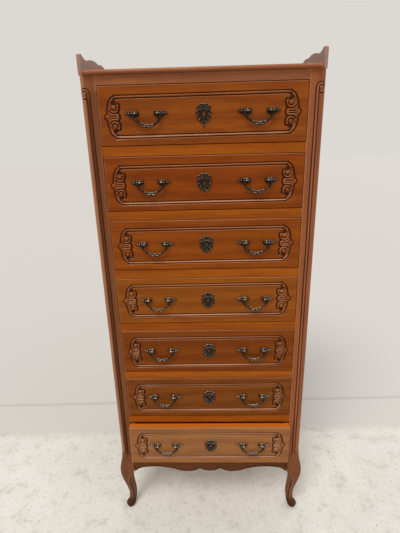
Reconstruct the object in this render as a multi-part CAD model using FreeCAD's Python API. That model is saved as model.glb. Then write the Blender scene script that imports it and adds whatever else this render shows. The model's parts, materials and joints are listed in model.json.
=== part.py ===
import FreeCAD, Part
import math
import os
from collections import namedtuple
from FreeCAD import Vector

# Semainier: a tall chest of seven equal drawers on cabriole legs, in millimetres.
# Working frame: x across from the middle, y back from the front face of the posts, z up from
# the floor. Every piece is moved to the part's own frame, the bottom centre of its box, when saved.

# ---- case -------------------------------------------------------------------------------
CASE_WIDTH = 582.0          # over the outer faces of the posts
CASE_DEPTH = 380.0          # front face to back face of the posts
LEG_HEIGHT = 228.0          # floor to the top edge of the apron
POST_SIZE = 39.5            # square section of the four posts
POST_ROUND = 19.0           # quarter round on the outer front corner of the front posts
TOP_RAIL_HEIGHT = 23.0
TOP_RAIL_DEPTH = 30.0
RAIL_HEIGHT = 24.0          # rails between the drawers
RAIL_DEPTH = 60.0
RAIL_TENON_LENGTH = 10.0
RAIL_TENON_HEIGHT = 12.0
TENON_SETBACK = 8.0         # tenon behind the front face
MORTISE_WALL = 5.0          # least wood left behind a mortise

# ---- drawers ----------------------------------------------------------------------------
DRAWER_COUNT = 7
AJAR_DRAWER = 7             # this one stands a little open
AJAR = 27.0
FRONT_HEIGHT = 136.0
FRONT_THICKNESS = 22.0
REVEAL = 1.5                # gap round a drawer front
RUNNING_GAP = 0.3           # drawer side above its runner
BOX_BACK_GAP = 8.0          # back of a closed drawer to the back rails
SIDE_THICKNESS = 12.0
SIDE_DROP = 11.0            # top edge of the drawer sides below that of the front
BACK_THICKNESS = 12.0
BACK_DROP = 8.0             # top edge of the drawer back below that of the sides
HOUSING_DEPTH = 5.0         # drawer back let into the sides
BOTTOM_THICKNESS = 5.0
BOTTOM_RISE = 10.0          # underside of the bottom above the lower edge of the sides
BOTTOM_GROOVE = 6.0
DOVETAIL_COUNT = 3
DOVETAIL_LENGTH = 15.0
DOVETAIL_WIDTH = 26.0       # at the tip of the tail
DOVETAIL_NARROWING = 3.0    # taken off each edge at the root

# ---- carved moulding of a drawer front --------------------------------------------------
MOULD_INSET_X = 28.0        # middle of the bead from the ends of the front
MOULD_INSET_Z = 21.5        # middle of the bead from the long edges of the front
MOULD_CORNER = 24.0         # radius of the bead at the corners
GROOVE_SPREAD = 12.0        # over both grooves beside the bead
GROOVE_DEPTH = 2.4
BEAD_FOOT = 6.6             # bead between the bottoms of its grooves
BEAD_TOP = 3.4
BEAD_BELOW = 0.2            # top of the bead below the face of the front
VOLUTE_INSET = 41.0         # middle of the scroll from the end of the front
VOLUTE_SPREAD = 20.5        # middle of the scroll above and below mid-height
VOLUTE_RADIUS = 9.5
VOLUTE_HEIGHT = 1.6
BUD_SIZE = 5.0
CORNER_STEPS = 3            # straight cuts that make each corner of the moulding
CARVING_SIDES = 12          # small round bosses are cut as regular polygons

# ---- case sides, back and top -----------------------------------------------------------
PANEL_THICKNESS = 15.0
PANEL_INSET = 3.0           # side panel behind the outer faces of the posts
PANEL_TONGUE = 8.0
SIDE_APRON_DROP = 42.0      # depth of the side apron at its ends
SIDE_APRON_ARCH = 18.0      # rise of its lower edge in the middle
BACK_PANEL_THICKNESS = 6.0
BACK_PANEL_INSET = 6.0      # back panel in from the back face of the posts
BACK_RAIL_HEIGHT = 40.0
BACK_RAIL_THICKNESS = 20.0
RUNNER_HEIGHT = 18.0
RUNNER_BEARING = 22.0       # how far a runner reaches in past the opening
GUIDE_HEIGHT = 20.0
STOP_SIZE = (22.0, 10.0, 5.0)
STOP_SPREAD = 150.0
BLOCK_SIZE = 26.0
BLOCK_LENGTH = 60.0
TOP_THICKNESS = 10.0
TOP_OVERHANG = 10.0
TOP_CORNER = 14.0
TOP_NOSE = 3.5              # bevel along the front edge of the top, above and below
WING_THICKNESS = 8.0
WING_SETBACK = 6.0
WING_PEAK = 36.5            # gallery sides above the top board
GALLERY_BACK_HEIGHT = 28.0

# ---- front post carving -----------------------------------------------------------------
POST_FLAT = 8.5
POST_GROOVE = 1.8
POST_BEAD = 8.4
POST_BEAD_CROWN = 1.2       # bead proud of the front face
ROUNDEL_RADIUS = 12.5
ROUNDEL_HEIGHT = 2.0
ROUNDEL_DROP = 43.5         # middle of the roundel below the top of the post

# ---- cabriole legs ----------------------------------------------------------------------
CAP_OUTER = 20.0            # leg cap above the apron's top edge, at the outer corner
CAP_INNER = 5.5             # and at the opening
CAP_STEPS = 6               # straight cuts along the line of the cap
LEG_CORNER_FOOT = 6.0       # edge radius down at the foot
LEG_CORNER_STEPS = 5        # flats that make the rounded corner of a leg
TOE_RADIUS = 15.0
TOE_WIDTH = 20.0
TOE_REACH = 2.5             # middle of the scroll outside the middle of the leg
TOE_FLAT = 1.0              # how much the scroll is flattened where it stands
Station = namedtuple("Station", "height swell thickness")
# Height up the leg as a share of LEG_HEIGHT, and, as shares of POST_SIZE, how far its outer
# line stands outside the post and how thick the leg is there.
LEG_STATIONS = (
    Station(1.107, 0.013, 1.013),
    Station(1.031, 0.02, 1.02),
    Station(0.93, 0.063, 1.063),
    Station(0.848, 0.165, 1.165),
    Station(0.748, 0.24, 1.24),
    Station(0.7, 0.235, 1.145),
    Station(0.655, 0.21, 1.02),
    Station(0.565, 0.115, 0.845),
    Station(0.461, -0.02, 0.74),
    Station(0.361, -0.14, 0.67),
    Station(0.274, -0.22, 0.62),
    Station(0.209, -0.24, 0.6),
    Station(0.126, -0.21, 0.58),
    Station(0.048, -0.15, 0.57),
)
LEG_BLOCK_STATION = 4       # below this one the inner face leaves the straight block
REAR_FOOT_DEPTH = 24.0      # front to back of a rear foot
REAR_FOOT_STRAIGHT = 10.0   # height of the part of a rear foot that isn't tapered

# ---- apron ------------------------------------------------------------------------------
APRON_THICKNESS = 20.0
APRON_TENON_HEIGHT = 22.0
APRON_TENON_DROP = 4.0      # top of the tenon below the top edge of the apron
APRON_TENON_THICKNESS = 8.0
APRON_DROP = 57.0           # lower edge below the top edge where it meets the legs
APRON_ARCH = 43.0
APRON_LOBE = 63.0
APRON_CUSP = 51.0
APRON_MIDDLE = 61.0

# ---- drop handles and escutcheons -------------------------------------------------------
HANDLE_INSET = 115.0        # middle of each handle from the end of the drawer front
HANDLE_RISE = 4.0           # pivot axis above the middle of the drawer front
PIVOT_SPREAD = 27.5         # middle of each knuckle from the middle of the handle
PIVOT_STAND = 9.5           # pivot axis in front of the drawer face
PIN_RADIUS = 1.5
PIN_CLEARANCE = 0.1
KNUCKLE_RADIUS = 3.4
KNUCKLE_LENGTH = 7.0
KNUCKLE_ROOT = 5.0          # height of the knuckle where it meets its leaf
PIN_SIDES = 8               # pins and their holes are drawn with this many flats
ARM_CLEARANCE = 0.6         # bail arm beside its knuckle
ARM_WIDTH = 4.4
BAIL_THICKNESS = 4.6
BAIL_DROP = 32.0
LEAF_LENGTH = 28.0
LEAF_HEIGHT = 17.0
LEAF_THICKNESS = 3.2
LEAF_TAPER = 0.72           # front outline of the leaf as a share of its back outline
LEAF_LAP = 0.07             # share of the leaf that reaches in past its knuckle
ESCUTCHEON_WIDTH = 33.0
ESCUTCHEON_HEIGHT = 43.0
ESCUTCHEON_THICKNESS = 3.0
OPENING_RADIUS = 6.0        # pierced middle of the plate
OPENING_SIDES = 8
ESCUTCHEON_LOBES = 6
PENDANT_LENGTH = 16.0       # tail of the top drawer's escutcheon

# ---- sizes that follow ------------------------------------------------------------------
HALF_WIDTH = CASE_WIDTH / 2
OPENING_HALF = HALF_WIDTH - POST_SIZE
FRONT_WIDTH = 2 * (OPENING_HALF - REVEAL)
HANDLE_OFFSET = FRONT_WIDTH / 2 - HANDLE_INSET      # from the middle of the drawer
OPENING_HEIGHT = FRONT_HEIGHT + 2 * REVEAL
PITCH = OPENING_HEIGHT + RAIL_HEIGHT
POST_TOP = LEG_HEIGHT + DRAWER_COUNT * PITCH - RAIL_HEIGHT + TOP_RAIL_HEIGHT
TOP_SURFACE = POST_TOP + TOP_THICKNESS
PANEL_INNER = HALF_WIDTH - PANEL_INSET - PANEL_THICKNESS
REAR_POST_FRONT = CASE_DEPTH - POST_SIZE
BACK_PANEL_FRONT = CASE_DEPTH - BACK_PANEL_INSET - BACK_PANEL_THICKNESS
BACK_RAIL_FRONT = BACK_PANEL_FRONT - BACK_RAIL_THICKNESS
BOX_DEPTH = BACK_RAIL_FRONT - BOX_BACK_GAP - FRONT_THICKNESS    # behind the front board
FRONT_REACH = AJAR + PIVOT_STAND + KNUCKLE_RADIUS
FRAME_SHIFT = Vector(0, (FRONT_REACH - CASE_DEPTH) / 2, 0)
MARGIN = 5.0                # how far cutting solids reach past what they cut


def box(x0, x1, y0, y1, z0, z1):
    return Part.makeBox(x1 - x0, y1 - y0, z1 - z0, Vector(x0, y0, z0))


def mirrored(shape):
    return shape.mirror(Vector(0, 0, 0), Vector(1, 0, 0))


def arc(start, middle, end):
    return Part.Arc(start, middle, end).toShape()


def line(start, end):
    return Part.LineSegment(start, end).toShape()


def spline(points):
    curve = Part.BSplineCurve()
    curve.interpolate(points)
    return curve.toShape()


def face_of(edges):
    return Part.Face(Part.Wire(edges))


def polygon(points):
    return Part.Face(Part.makePolygon(list(points) + [points[0]]))


def skinned(outlines):
    """Solid through a run of outlines that have like points, with flat facets between them."""
    faces = [polygon(outlines[0]), polygon(outlines[-1])]
    for near, far in zip(outlines, outlines[1:]):
        for k in range(len(near)):
            after = (k + 1) % len(near)
            faces.append(polygon([near[k], near[after], far[after]]))
            faces.append(polygon([near[k], far[after], far[k]]))
    shell = Part.Shell(faces)
    shell.sewShape()
    solid = Part.makeSolid(shell)
    return solid if solid.Volume > 0 else solid.reversed()


def save(name, shapes):
    """Write one node; its solids stay separate."""
    pieces = [solid for shape in shapes for solid in shape.Solids]
    node = pieces[0] if len(pieces) == 1 else Part.makeCompound(pieces)
    node.translate(FRAME_SHIFT)
    node.exportStep("parts/" + name + ".step")
    print(name, len(pieces), all(piece.isValid() for piece in pieces))


def save_pair(name, right):
    save(name + "_left", [mirrored(right)])
    save(name + "_right", [right])


# ---- places of the drawers --------------------------------------------------------------
def opening_bottom(number):
    """Lower edge of a drawer's opening; drawer 1 is at the top."""
    return LEG_HEIGHT + (DRAWER_COUNT - number) * PITCH


def rail_bottoms():
    return [opening_bottom(number) - RAIL_HEIGHT for number in range(1, DRAWER_COUNT)]


# ---- front legs and posts ---------------------------------------------------------------
def leg_section(number):
    """Plan of a front leg at one station: square, with its outer front corner rounded."""
    station = LEG_STATIONS[number]
    z = station.height * LEG_HEIGHT
    outer = HALF_WIDTH + station.swell * POST_SIZE
    inner = outer - station.thickness * POST_SIZE
    front = HALF_WIDTH - outer
    back = HALF_WIDTH - inner
    top = LEG_STATIONS[0].height
    fall = (top - station.height) / (top - LEG_STATIONS[-1].height)
    radius = POST_ROUND + fall * (LEG_CORNER_FOOT - POST_ROUND)
    points = [Vector(inner, back, z), Vector(inner, front, z)]
    for step in range(LEG_CORNER_STEPS + 1):
        turn = (step / LEG_CORNER_STEPS - 1) * math.pi / 2
        points.append(Vector(outer + radius * (math.cos(turn) - 1),
                             front + radius * (math.sin(turn) + 1), z))
    points.append(Vector(outer, back, z))
    return points


def rear_leg_outline():
    """Outline of a rear leg, seen from the front, as far up as the block."""
    outer = [Vector(HALF_WIDTH + s.swell * POST_SIZE, REAR_POST_FRONT, s.height * LEG_HEIGHT)
             for s in LEG_STATIONS]
    lower = range(LEG_BLOCK_STATION, len(LEG_STATIONS))
    inner = [outer[k] - Vector(LEG_STATIONS[k].thickness * POST_SIZE, 0, 0) for k in lower]
    block_top = Vector(OPENING_HALF, REAR_POST_FRONT, outer[0].z)
    return face_of([
        spline(outer),
        line(outer[-1], inner[-1]),
        spline(list(reversed(inner))),
        line(inner[0], block_top),
        line(block_top, outer[0]),
    ])


def above_cap():
    """Everything above the curved line where the leg's cap meets the post."""
    out = HALF_WIDTH + POST_SIZE
    low = LEG_HEIGHT + CAP_INNER
    high = LEG_HEIGHT + CAP_OUTER
    start = Vector(OPENING_HALF - MARGIN, -POST_SIZE, low)
    middle = Vector(HALF_WIDTH - 0.6 * POST_SIZE, -POST_SIZE, low + 0.1 * (high - low))
    end = Vector(HALF_WIDTH, -POST_SIZE, high)
    profile = polygon(arc(start, middle, end).discretize(CAP_STEPS + 1) + [
        Vector(out, -POST_SIZE, high),
        Vector(out, -POST_SIZE, TOP_SURFACE),
        Vector(start.x, -POST_SIZE, TOP_SURFACE),
    ])
    return profile.extrude(Vector(0, 3 * POST_SIZE, 0))


def scroll_toe():
    """The rolled end of the foot, its axis square to the diagonal of the leg."""
    foot = LEG_STATIONS[-1]
    out = HALF_WIDTH + (foot.swell - foot.thickness / 2) * POST_SIZE + TOE_REACH
    middle = Vector(out, HALF_WIDTH - out, TOE_RADIUS - TOE_FLAT)
    axis = Vector(1, 1, 0).normalize()
    start = middle - axis * (TOE_WIDTH / 2)
    toe = Part.makeCylinder(TOE_RADIUS, TOE_WIDTH, start, axis)
    return toe.cut(box(0, CASE_WIDTH, -POST_SIZE, 2 * POST_SIZE, -TOE_RADIUS, 0))


def front_leg():
    sections = [leg_section(number) for number in reversed(range(len(LEG_STATIONS)))]
    leg = skinned(sections).cut(above_cap()).fuse(scroll_toe())
    return leg.cut(apron_tenon()).removeSplitter()


def rear_leg_taper():
    """Wedge taken off the front face of a rear leg, which stays flat at the back."""
    low = REAR_POST_FRONT + POST_SIZE - REAR_FOOT_DEPTH
    wedge = polygon([
        Vector(0, REAR_POST_FRONT - MARGIN, 0),
        Vector(0, low, 0),
        Vector(0, low, REAR_FOOT_STRAIGHT),
        Vector(0, REAR_POST_FRONT, LEG_HEIGHT - SIDE_APRON_DROP),
        Vector(0, REAR_POST_FRONT - MARGIN, LEG_HEIGHT - SIDE_APRON_DROP),
    ])
    return wedge.extrude(Vector(CASE_WIDTH, 0, 0))


def rear_leg_and_post():
    """Rear post and leg in one: the leg's outline sawn from the front, tapered from the side."""
    leg = rear_leg_outline().extrude(Vector(0, POST_SIZE, 0))
    leg = leg.cut(box(0, CASE_WIDTH, 0, 2 * CASE_DEPTH, LEG_HEIGHT, TOP_SURFACE))
    foot = LEG_STATIONS[-1]
    foot_out = HALF_WIDTH + foot.swell * POST_SIZE
    leg = leg.fuse(box(foot_out - foot.thickness * POST_SIZE, foot_out, REAR_POST_FRONT,
                       CASE_DEPTH, 0, foot.height * LEG_HEIGHT))
    leg = leg.cut(rear_leg_taper())
    post = box(OPENING_HALF, HALF_WIDTH, REAR_POST_FRONT, CASE_DEPTH, LEG_HEIGHT, POST_TOP)
    whole = leg.fuse(post).removeSplitter()
    for piece in (side_panel(), side_apron(), back_panel()):
        whole = whole.cut(piece)
    return whole


def post_section(grow):
    """Plan of a front post with its outer front corner rounded, grown by a distance."""
    x0 = OPENING_HALF
    x1 = HALF_WIDTH + grow
    radius = POST_ROUND + grow
    centre = Vector(HALF_WIDTH - POST_ROUND, POST_ROUND, 0)
    middle = centre + Vector(1, -1, 0) * (radius * math.sqrt(0.5))
    corner = [Vector(centre.x, -grow, 0), middle, Vector(x1, centre.y, 0)]
    return face_of([
        line(Vector(x0, -grow, 0), corner[0]),
        arc(*corner),
        line(corner[2], Vector(x1, POST_SIZE, 0)),
        line(Vector(x1, POST_SIZE, 0), Vector(x0, POST_SIZE, 0)),
        line(Vector(x0, POST_SIZE, 0), Vector(x0, -grow, 0)),
    ])


def lens(x0, x1, rise):
    """Plan of a shallow rounded strip on the front face, from x0 to x1."""
    start = Vector(x0, 0, 0)
    end = Vector(x1, 0, 0)
    return face_of([arc(start, Vector((x0 + x1) / 2, rise, 0), end), line(end, start)])


def roundel():
    """Raised disc that ends the bead and follows the rounded corner of the post."""
    height = POST_TOP - ROUNDEL_DROP
    x = OPENING_HALF + POST_FLAT + 2 * POST_GROOVE + POST_BEAD + ROUNDEL_RADIUS / 2
    x = min(x, HALF_WIDTH - ROUNDEL_RADIUS - 0.5)
    slab = post_section(ROUNDEL_HEIGHT).extrude(Vector(0, 0, 3 * ROUNDEL_RADIUS))
    slab.translate(Vector(0, 0, height - 1.5 * ROUNDEL_RADIUS))
    cutter = boss(ROUNDEL_RADIUS, x, height, POST_ROUND + 2 * ROUNDEL_HEIGHT, CARVING_SIDES)
    cutter.translate(Vector(0, POST_ROUND, 0))
    return slab.common(cutter)


def front_post():
    height = POST_TOP - ROUNDEL_DROP
    post = post_section(0).extrude(Vector(0, 0, POST_TOP))
    groove_in = OPENING_HALF + POST_FLAT
    bead_in = groove_in + POST_GROOVE
    bead_out = bead_in + POST_BEAD
    for x in (groove_in, bead_out):
        groove = polygon([
            Vector(x, 0, 0),
            Vector(x + POST_GROOVE / 2, POST_GROOVE, 0),
            Vector(x + POST_GROOVE, 0, 0),
            Vector(x + POST_GROOVE / 2, -POST_GROOVE, 0),
        ])
        post = post.cut(groove.extrude(Vector(0, 0, height)))
    post = post.fuse(lens(bead_in, bead_out, -POST_BEAD_CROWN).extrude(Vector(0, 0, height)))
    post = post.fuse(roundel()).common(above_cap()).removeSplitter()
    for z in rail_bottoms():
        post = post.cut(rail_tenon(z, RAIL_DEPTH))
    return post.cut(rail_tenon(POST_TOP - TOP_RAIL_HEIGHT, TOP_RAIL_DEPTH)).cut(side_panel())


# ---- rails, apron, sides and back -------------------------------------------------------
def rail_tenon(bottom, depth):
    z = bottom + (RAIL_HEIGHT - RAIL_TENON_HEIGHT) / 2
    return box(OPENING_HALF, OPENING_HALF + RAIL_TENON_LENGTH, TENON_SETBACK,
               min(depth, POST_SIZE - MORTISE_WALL), z, z + RAIL_TENON_HEIGHT)


def rail(bottom, height, depth):
    body = box(-OPENING_HALF, OPENING_HALF, 0, depth, bottom, bottom + height)
    tenon = rail_tenon(bottom, depth)
    return body.fuse(tenon).fuse(mirrored(tenon)).removeSplitter()


def bottom_rail():
    """Rail behind the apron that carries the lowest drawer."""
    return box(-OPENING_HALF, OPENING_HALF, APRON_THICKNESS, RAIL_DEPTH,
               LEG_HEIGHT - RAIL_HEIGHT, LEG_HEIGHT)


def apron_tenon():
    top = LEG_HEIGHT - APRON_TENON_DROP
    return box(OPENING_HALF, OPENING_HALF + RAIL_TENON_LENGTH, APRON_TENON_THICKNESS / 2,
               1.5 * APRON_TENON_THICKNESS, top - APRON_TENON_HEIGHT, top)


def apron_edge():
    """Lower edge of the apron from the middle out to the right-hand leg."""
    def at(x, drop):
        return Vector(x * OPENING_HALF, 0, LEG_HEIGHT - drop)
    middle = at(0, APRON_MIDDLE)
    cusp = at(0.135, APRON_CUSP)
    lobe = at(0.3, APRON_LOBE)
    turn = at(0.47, (APRON_LOBE + APRON_ARCH) / 2)
    arch = at(0.76, APRON_ARCH)
    shoulder = at(0.93, APRON_ARCH + 0.02 * OPENING_HALF)
    end = at(1, APRON_DROP - 0.02 * OPENING_HALF)
    return [
        arc(middle, at(0.085, 0.94 * APRON_MIDDLE), cusp),
        arc(cusp, at(0.21, 0.96 * APRON_LOBE), lobe),
        arc(lobe, at(0.39, 0.96 * APRON_LOBE), turn),
        arc(turn, at(0.6, 1.06 * APRON_ARCH), arch),
        line(arch, shoulder),
        line(shoulder, end),
    ]


def apron():
    right = apron_edge()
    left = [mirrored(edge) for edge in right]
    top_right = Vector(OPENING_HALF, 0, LEG_HEIGHT)
    top_left = Vector(-OPENING_HALF, 0, LEG_HEIGHT)
    end = right[-1].Vertexes[-1].Point
    frame = [
        line(end, top_right),
        line(top_right, top_left),
        line(top_left, Vector(-end.x, end.y, end.z)),
    ]
    wire = Part.Wire(Part.__sortEdges__(left + right + frame))
    board = Part.Face(wire).extrude(Vector(0, APRON_THICKNESS, 0))
    tenon = apron_tenon()
    return board.fuse(tenon).fuse(mirrored(tenon)).removeSplitter()


def side_apron():
    y0 = POST_SIZE
    y1 = REAR_POST_FRONT
    x = HALF_WIDTH - PANEL_INSET - PANEL_THICKNESS
    low = LEG_HEIGHT - SIDE_APRON_DROP
    edge = [Vector(x, y0, low), Vector(x, (y0 + y1) / 2, low + SIDE_APRON_ARCH), Vector(x, y1, low)]
    profile = face_of([
        arc(*edge),
        line(edge[2], Vector(x, y1, LEG_HEIGHT)),
        line(Vector(x, y1, LEG_HEIGHT), Vector(x, y0, LEG_HEIGHT)),
        line(Vector(x, y0, LEG_HEIGHT), edge[0]),
    ])
    return profile.extrude(Vector(PANEL_THICKNESS, 0, 0))


def side_panel():
    x1 = HALF_WIDTH - PANEL_INSET
    board = box(PANEL_INNER, x1, POST_SIZE, REAR_POST_FRONT, LEG_HEIGHT, POST_TOP)
    tongue_x = (PANEL_INNER + PANEL_THICKNESS / 3, PANEL_INNER + 2 * PANEL_THICKNESS / 3)
    tongue = box(tongue_x[0], tongue_x[1], POST_SIZE - PANEL_TONGUE, REAR_POST_FRONT + PANEL_TONGUE,
                 LEG_HEIGHT + 2 * CAP_OUTER, POST_TOP)
    return board.fuse(tongue).removeSplitter()


def back_panel():
    return box(-OPENING_HALF - PANEL_TONGUE, OPENING_HALF + PANEL_TONGUE, BACK_PANEL_FRONT,
               BACK_PANEL_FRONT + BACK_PANEL_THICKNESS, LEG_HEIGHT - RAIL_HEIGHT, POST_TOP)


def back_rails():
    lows = (LEG_HEIGHT - RAIL_HEIGHT, POST_TOP - BACK_RAIL_HEIGHT)
    return [box(-OPENING_HALF, OPENING_HALF, BACK_RAIL_FRONT, BACK_PANEL_FRONT, low,
                low + BACK_RAIL_HEIGHT) for low in lows]


def runner(number):
    """Runner and guide of one drawer, in one L-shaped strip against the side panel."""
    top = opening_bottom(number)
    inner = OPENING_HALF - RUNNER_BEARING
    profile = polygon([
        Vector(inner, RAIL_DEPTH, top - RUNNER_HEIGHT),
        Vector(PANEL_INNER, RAIL_DEPTH, top - RUNNER_HEIGHT),
        Vector(PANEL_INNER, RAIL_DEPTH, top + GUIDE_HEIGHT),
        Vector(OPENING_HALF, RAIL_DEPTH, top + GUIDE_HEIGHT),
        Vector(OPENING_HALF, RAIL_DEPTH, top),
        Vector(inner, RAIL_DEPTH, top),
    ])
    strip = profile.extrude(Vector(0, BACK_RAIL_FRONT - RAIL_DEPTH, 0))
    return strip.cut(box(0, CASE_WIDTH, REAR_POST_FRONT, CASE_DEPTH, 0, POST_TOP).common(
        box(OPENING_HALF, CASE_WIDTH, 0, CASE_DEPTH, 0, POST_TOP)))


def drawer_stops():
    width, depth, height = STOP_SIZE
    front = FRONT_THICKNESS + RUNNING_GAP
    stops = []
    for number in range(1, DRAWER_COUNT + 1):
        z = opening_bottom(number)
        for x in (-STOP_SPREAD, STOP_SPREAD):
            stops.append(box(x - width / 2, x + width / 2, front, front + depth, z, z + height))
    return stops


def glue_blocks():
    """Triangular blocks under the top board, behind the top rail and along the sides."""
    top = POST_TOP
    blocks = []
    for x in (-STOP_SPREAD, STOP_SPREAD):
        profile = polygon([
            Vector(x - BLOCK_LENGTH / 2, TOP_RAIL_DEPTH, top),
            Vector(x - BLOCK_LENGTH / 2, TOP_RAIL_DEPTH + BLOCK_SIZE, top),
            Vector(x - BLOCK_LENGTH / 2, TOP_RAIL_DEPTH, top - TOP_RAIL_HEIGHT),
        ])
        blocks.append(profile.extrude(Vector(BLOCK_LENGTH, 0, 0)))
    for side in (-1, 1):
        x = side * PANEL_INNER
        for y in (CASE_DEPTH / 3, 2 * CASE_DEPTH / 3):
            profile = polygon([
                Vector(x, y, top),
                Vector(x - side * BLOCK_SIZE, y, top),
                Vector(x, y, top - TOP_RAIL_HEIGHT),
            ])
            blocks.append(profile.extrude(Vector(0, BLOCK_LENGTH, 0)))
    return blocks


# ---- top and gallery --------------------------------------------------------------------
def top_board():
    """Top board with rounded front corners and an eased front edge, inside the gallery."""
    half = HALF_WIDTH - WING_THICKNESS
    board = box(-half, half, -TOP_OVERHANG, CASE_DEPTH - WING_THICKNESS, POST_TOP, TOP_SURFACE)
    corners = [edge for edge in board.Edges if edge.BoundBox.ZLength > TOP_THICKNESS / 2
               and edge.BoundBox.YMax < 0]
    board = board.makeFillet(TOP_CORNER, corners)
    nose = [edge for edge in board.Edges if edge.BoundBox.ZLength < 0.01
            and edge.BoundBox.YMax < TOP_CORNER]
    return board.makeChamfer(TOP_NOSE, nose)


def gallery_side():
    """Scrolled side of the gallery: a front peak, a hollow, a hump and a notch, falling to the back."""
    x = HALF_WIDTH - WING_THICKNESS
    length = CASE_DEPTH - WING_SETBACK

    def at(share, rise):
        return Vector(x, WING_SETBACK + share * length, TOP_SURFACE + rise * WING_PEAK)
    back_top = Vector(x, CASE_DEPTH, TOP_SURFACE + GALLERY_BACK_HEIGHT)
    front_low = Vector(x, WING_SETBACK, POST_TOP)
    back_low = Vector(x, CASE_DEPTH, POST_TOP)
    profile = face_of([
        line(front_low, at(0, 0.92)),
        arc(at(0, 0.92), at(0.02, 1.0), at(0.05, 0.97)),
        arc(at(0.05, 0.97), at(0.1, 0.82), at(0.16, 0.78)),
        arc(at(0.16, 0.78), at(0.29, 0.99), at(0.45, 0.9)),
        arc(at(0.45, 0.9), at(0.53, 0.97), at(0.62, 0.88)),
        arc(at(0.62, 0.88), at(0.75, 0.72), back_top),
        line(back_top, back_low),
        line(back_low, front_low),
    ])
    return profile.extrude(Vector(WING_THICKNESS, 0, 0))


def gallery_back():
    half = HALF_WIDTH - WING_THICKNESS
    return box(-half, half, CASE_DEPTH - WING_THICKNESS, CASE_DEPTH, POST_TOP,
               TOP_SURFACE + GALLERY_BACK_HEIGHT)


# ---- drawers, in a frame with the closed front face at y 0 and mid-height at z 0 ---------
def bead_outline(inset, y):
    """Round-cornered oblong on the plane y, in from the middle line of the bead by a distance."""
    radius = MOULD_CORNER - inset
    x = FRONT_WIDTH / 2 - MOULD_INSET_X - MOULD_CORNER
    z = FRONT_HEIGHT / 2 - MOULD_INSET_Z - MOULD_CORNER
    points = []
    for quarter, (side, rise) in enumerate(((1, 1), (-1, 1), (-1, -1), (1, -1))):
        for step in range(CORNER_STEPS + 1):
            turn = (quarter + step / CORNER_STEPS) * math.pi / 2
            points.append(Vector(side * x + radius * math.cos(turn), y,
                                 rise * z + radius * math.sin(turn)))
    return points


def sloped_oblong(inset, y, next_inset, next_y):
    """Solid between two rounded oblongs, its edge one slope of the moulding."""
    return skinned([bead_outline(inset, y), bead_outline(next_inset, next_y)])


def moulded(board):
    """Cut two grooves side by side round the board so that a bead stands between them."""
    rim = GROOVE_SPREAD / 2
    foot = BEAD_FOOT / 2
    top = BEAD_TOP / 2
    board = board.cut(sloped_oblong(-rim, 0, -foot, GROOVE_DEPTH))
    board = board.fuse(sloped_oblong(-foot, GROOVE_DEPTH, -top, BEAD_BELOW))
    board = board.cut(sloped_oblong(top, BEAD_BELOW, foot, GROOVE_DEPTH))
    return board.fuse(sloped_oblong(foot, GROOVE_DEPTH, rim, 0))


def boss(radius, x, z, height, sides):
    """Flat round boss on the front face."""
    ring = [Vector(x + radius * math.cos(a), 0, z + radius * math.sin(a))
            for a in (2 * math.pi * k / sides for k in range(sides))]
    return polygon(ring).extrude(Vector(0, -height, 0))


def scroll_carving():
    """Raised scrollwork at the right-hand end: a scroll above and below a rib, and a bud outside."""
    x = FRONT_WIDTH / 2 - VOLUTE_INSET
    r = VOLUTE_RADIUS
    upper = [(0, -1.05), (-0.2, -0.55), (0.9, -0.2), (1, 0.4), (0.45, 0.95), (-0.35, 0.95), (-0.95, 0.4)]
    waist = (0.8, 0.55)
    right = [(x + r * across, VOLUTE_SPREAD + r * up) for across, up in reversed(upper[2:])]
    outline = [(x - r * waist[1], 0)] + right + [(x + r * waist[0], 0)]
    outline += [(px, -pz) for px, pz in reversed(right)]
    depth = GROOVE_DEPTH
    plate = polygon([Vector(px, depth, pz) for px, pz in outline])
    plate = plate.extrude(Vector(0, -depth - VOLUTE_HEIGHT, 0))
    bud_x = FRONT_WIDTH / 2 - MOULD_INSET_X + BEAD_TOP / 2
    bud = polygon([
        Vector(bud_x, depth, BUD_SIZE),
        Vector(bud_x + 2 * BUD_SIZE, depth, 0),
        Vector(bud_x, depth, -BUD_SIZE),
    ]).extrude(Vector(0, -depth - VOLUTE_HEIGHT / 2, 0))
    return [plate, bud]


def side_bottom():
    return RUNNING_GAP - REVEAL - FRONT_HEIGHT / 2


def side_top():
    return FRONT_HEIGHT / 2 - SIDE_DROP


def drawer_bottom():
    """Thin bottom, let into grooves in the front and the sides and passing under the back."""
    half = FRONT_WIDTH / 2 - SIDE_THICKNESS + BOTTOM_GROOVE
    z = side_bottom() + BOTTOM_RISE
    return box(-half, half, FRONT_THICKNESS - BOTTOM_GROOVE, FRONT_THICKNESS + BOX_DEPTH, z,
               z + BOTTOM_THICKNESS)


def drawer_back():
    half = FRONT_WIDTH / 2 - SIDE_THICKNESS + HOUSING_DEPTH
    y1 = FRONT_THICKNESS + BOX_DEPTH - BACK_THICKNESS
    z = side_bottom() + BOTTOM_RISE + BOTTOM_THICKNESS
    return box(-half, half, y1 - BACK_THICKNESS, y1, z, side_top() - BACK_DROP)


def dovetail(z):
    """One tail of a lapped dovetail, wider at its tip; z is its middle."""
    tip = FRONT_THICKNESS - DOVETAIL_LENGTH
    wide = DOVETAIL_WIDTH / 2
    narrow = wide - DOVETAIL_NARROWING
    x = FRONT_WIDTH / 2 - SIDE_THICKNESS
    tail = polygon([
        Vector(x, FRONT_THICKNESS, z - narrow),
        Vector(x, tip, z - wide),
        Vector(x, tip, z + wide),
        Vector(x, FRONT_THICKNESS, z + narrow),
    ])
    return tail.extrude(Vector(SIDE_THICKNESS, 0, 0))


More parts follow.
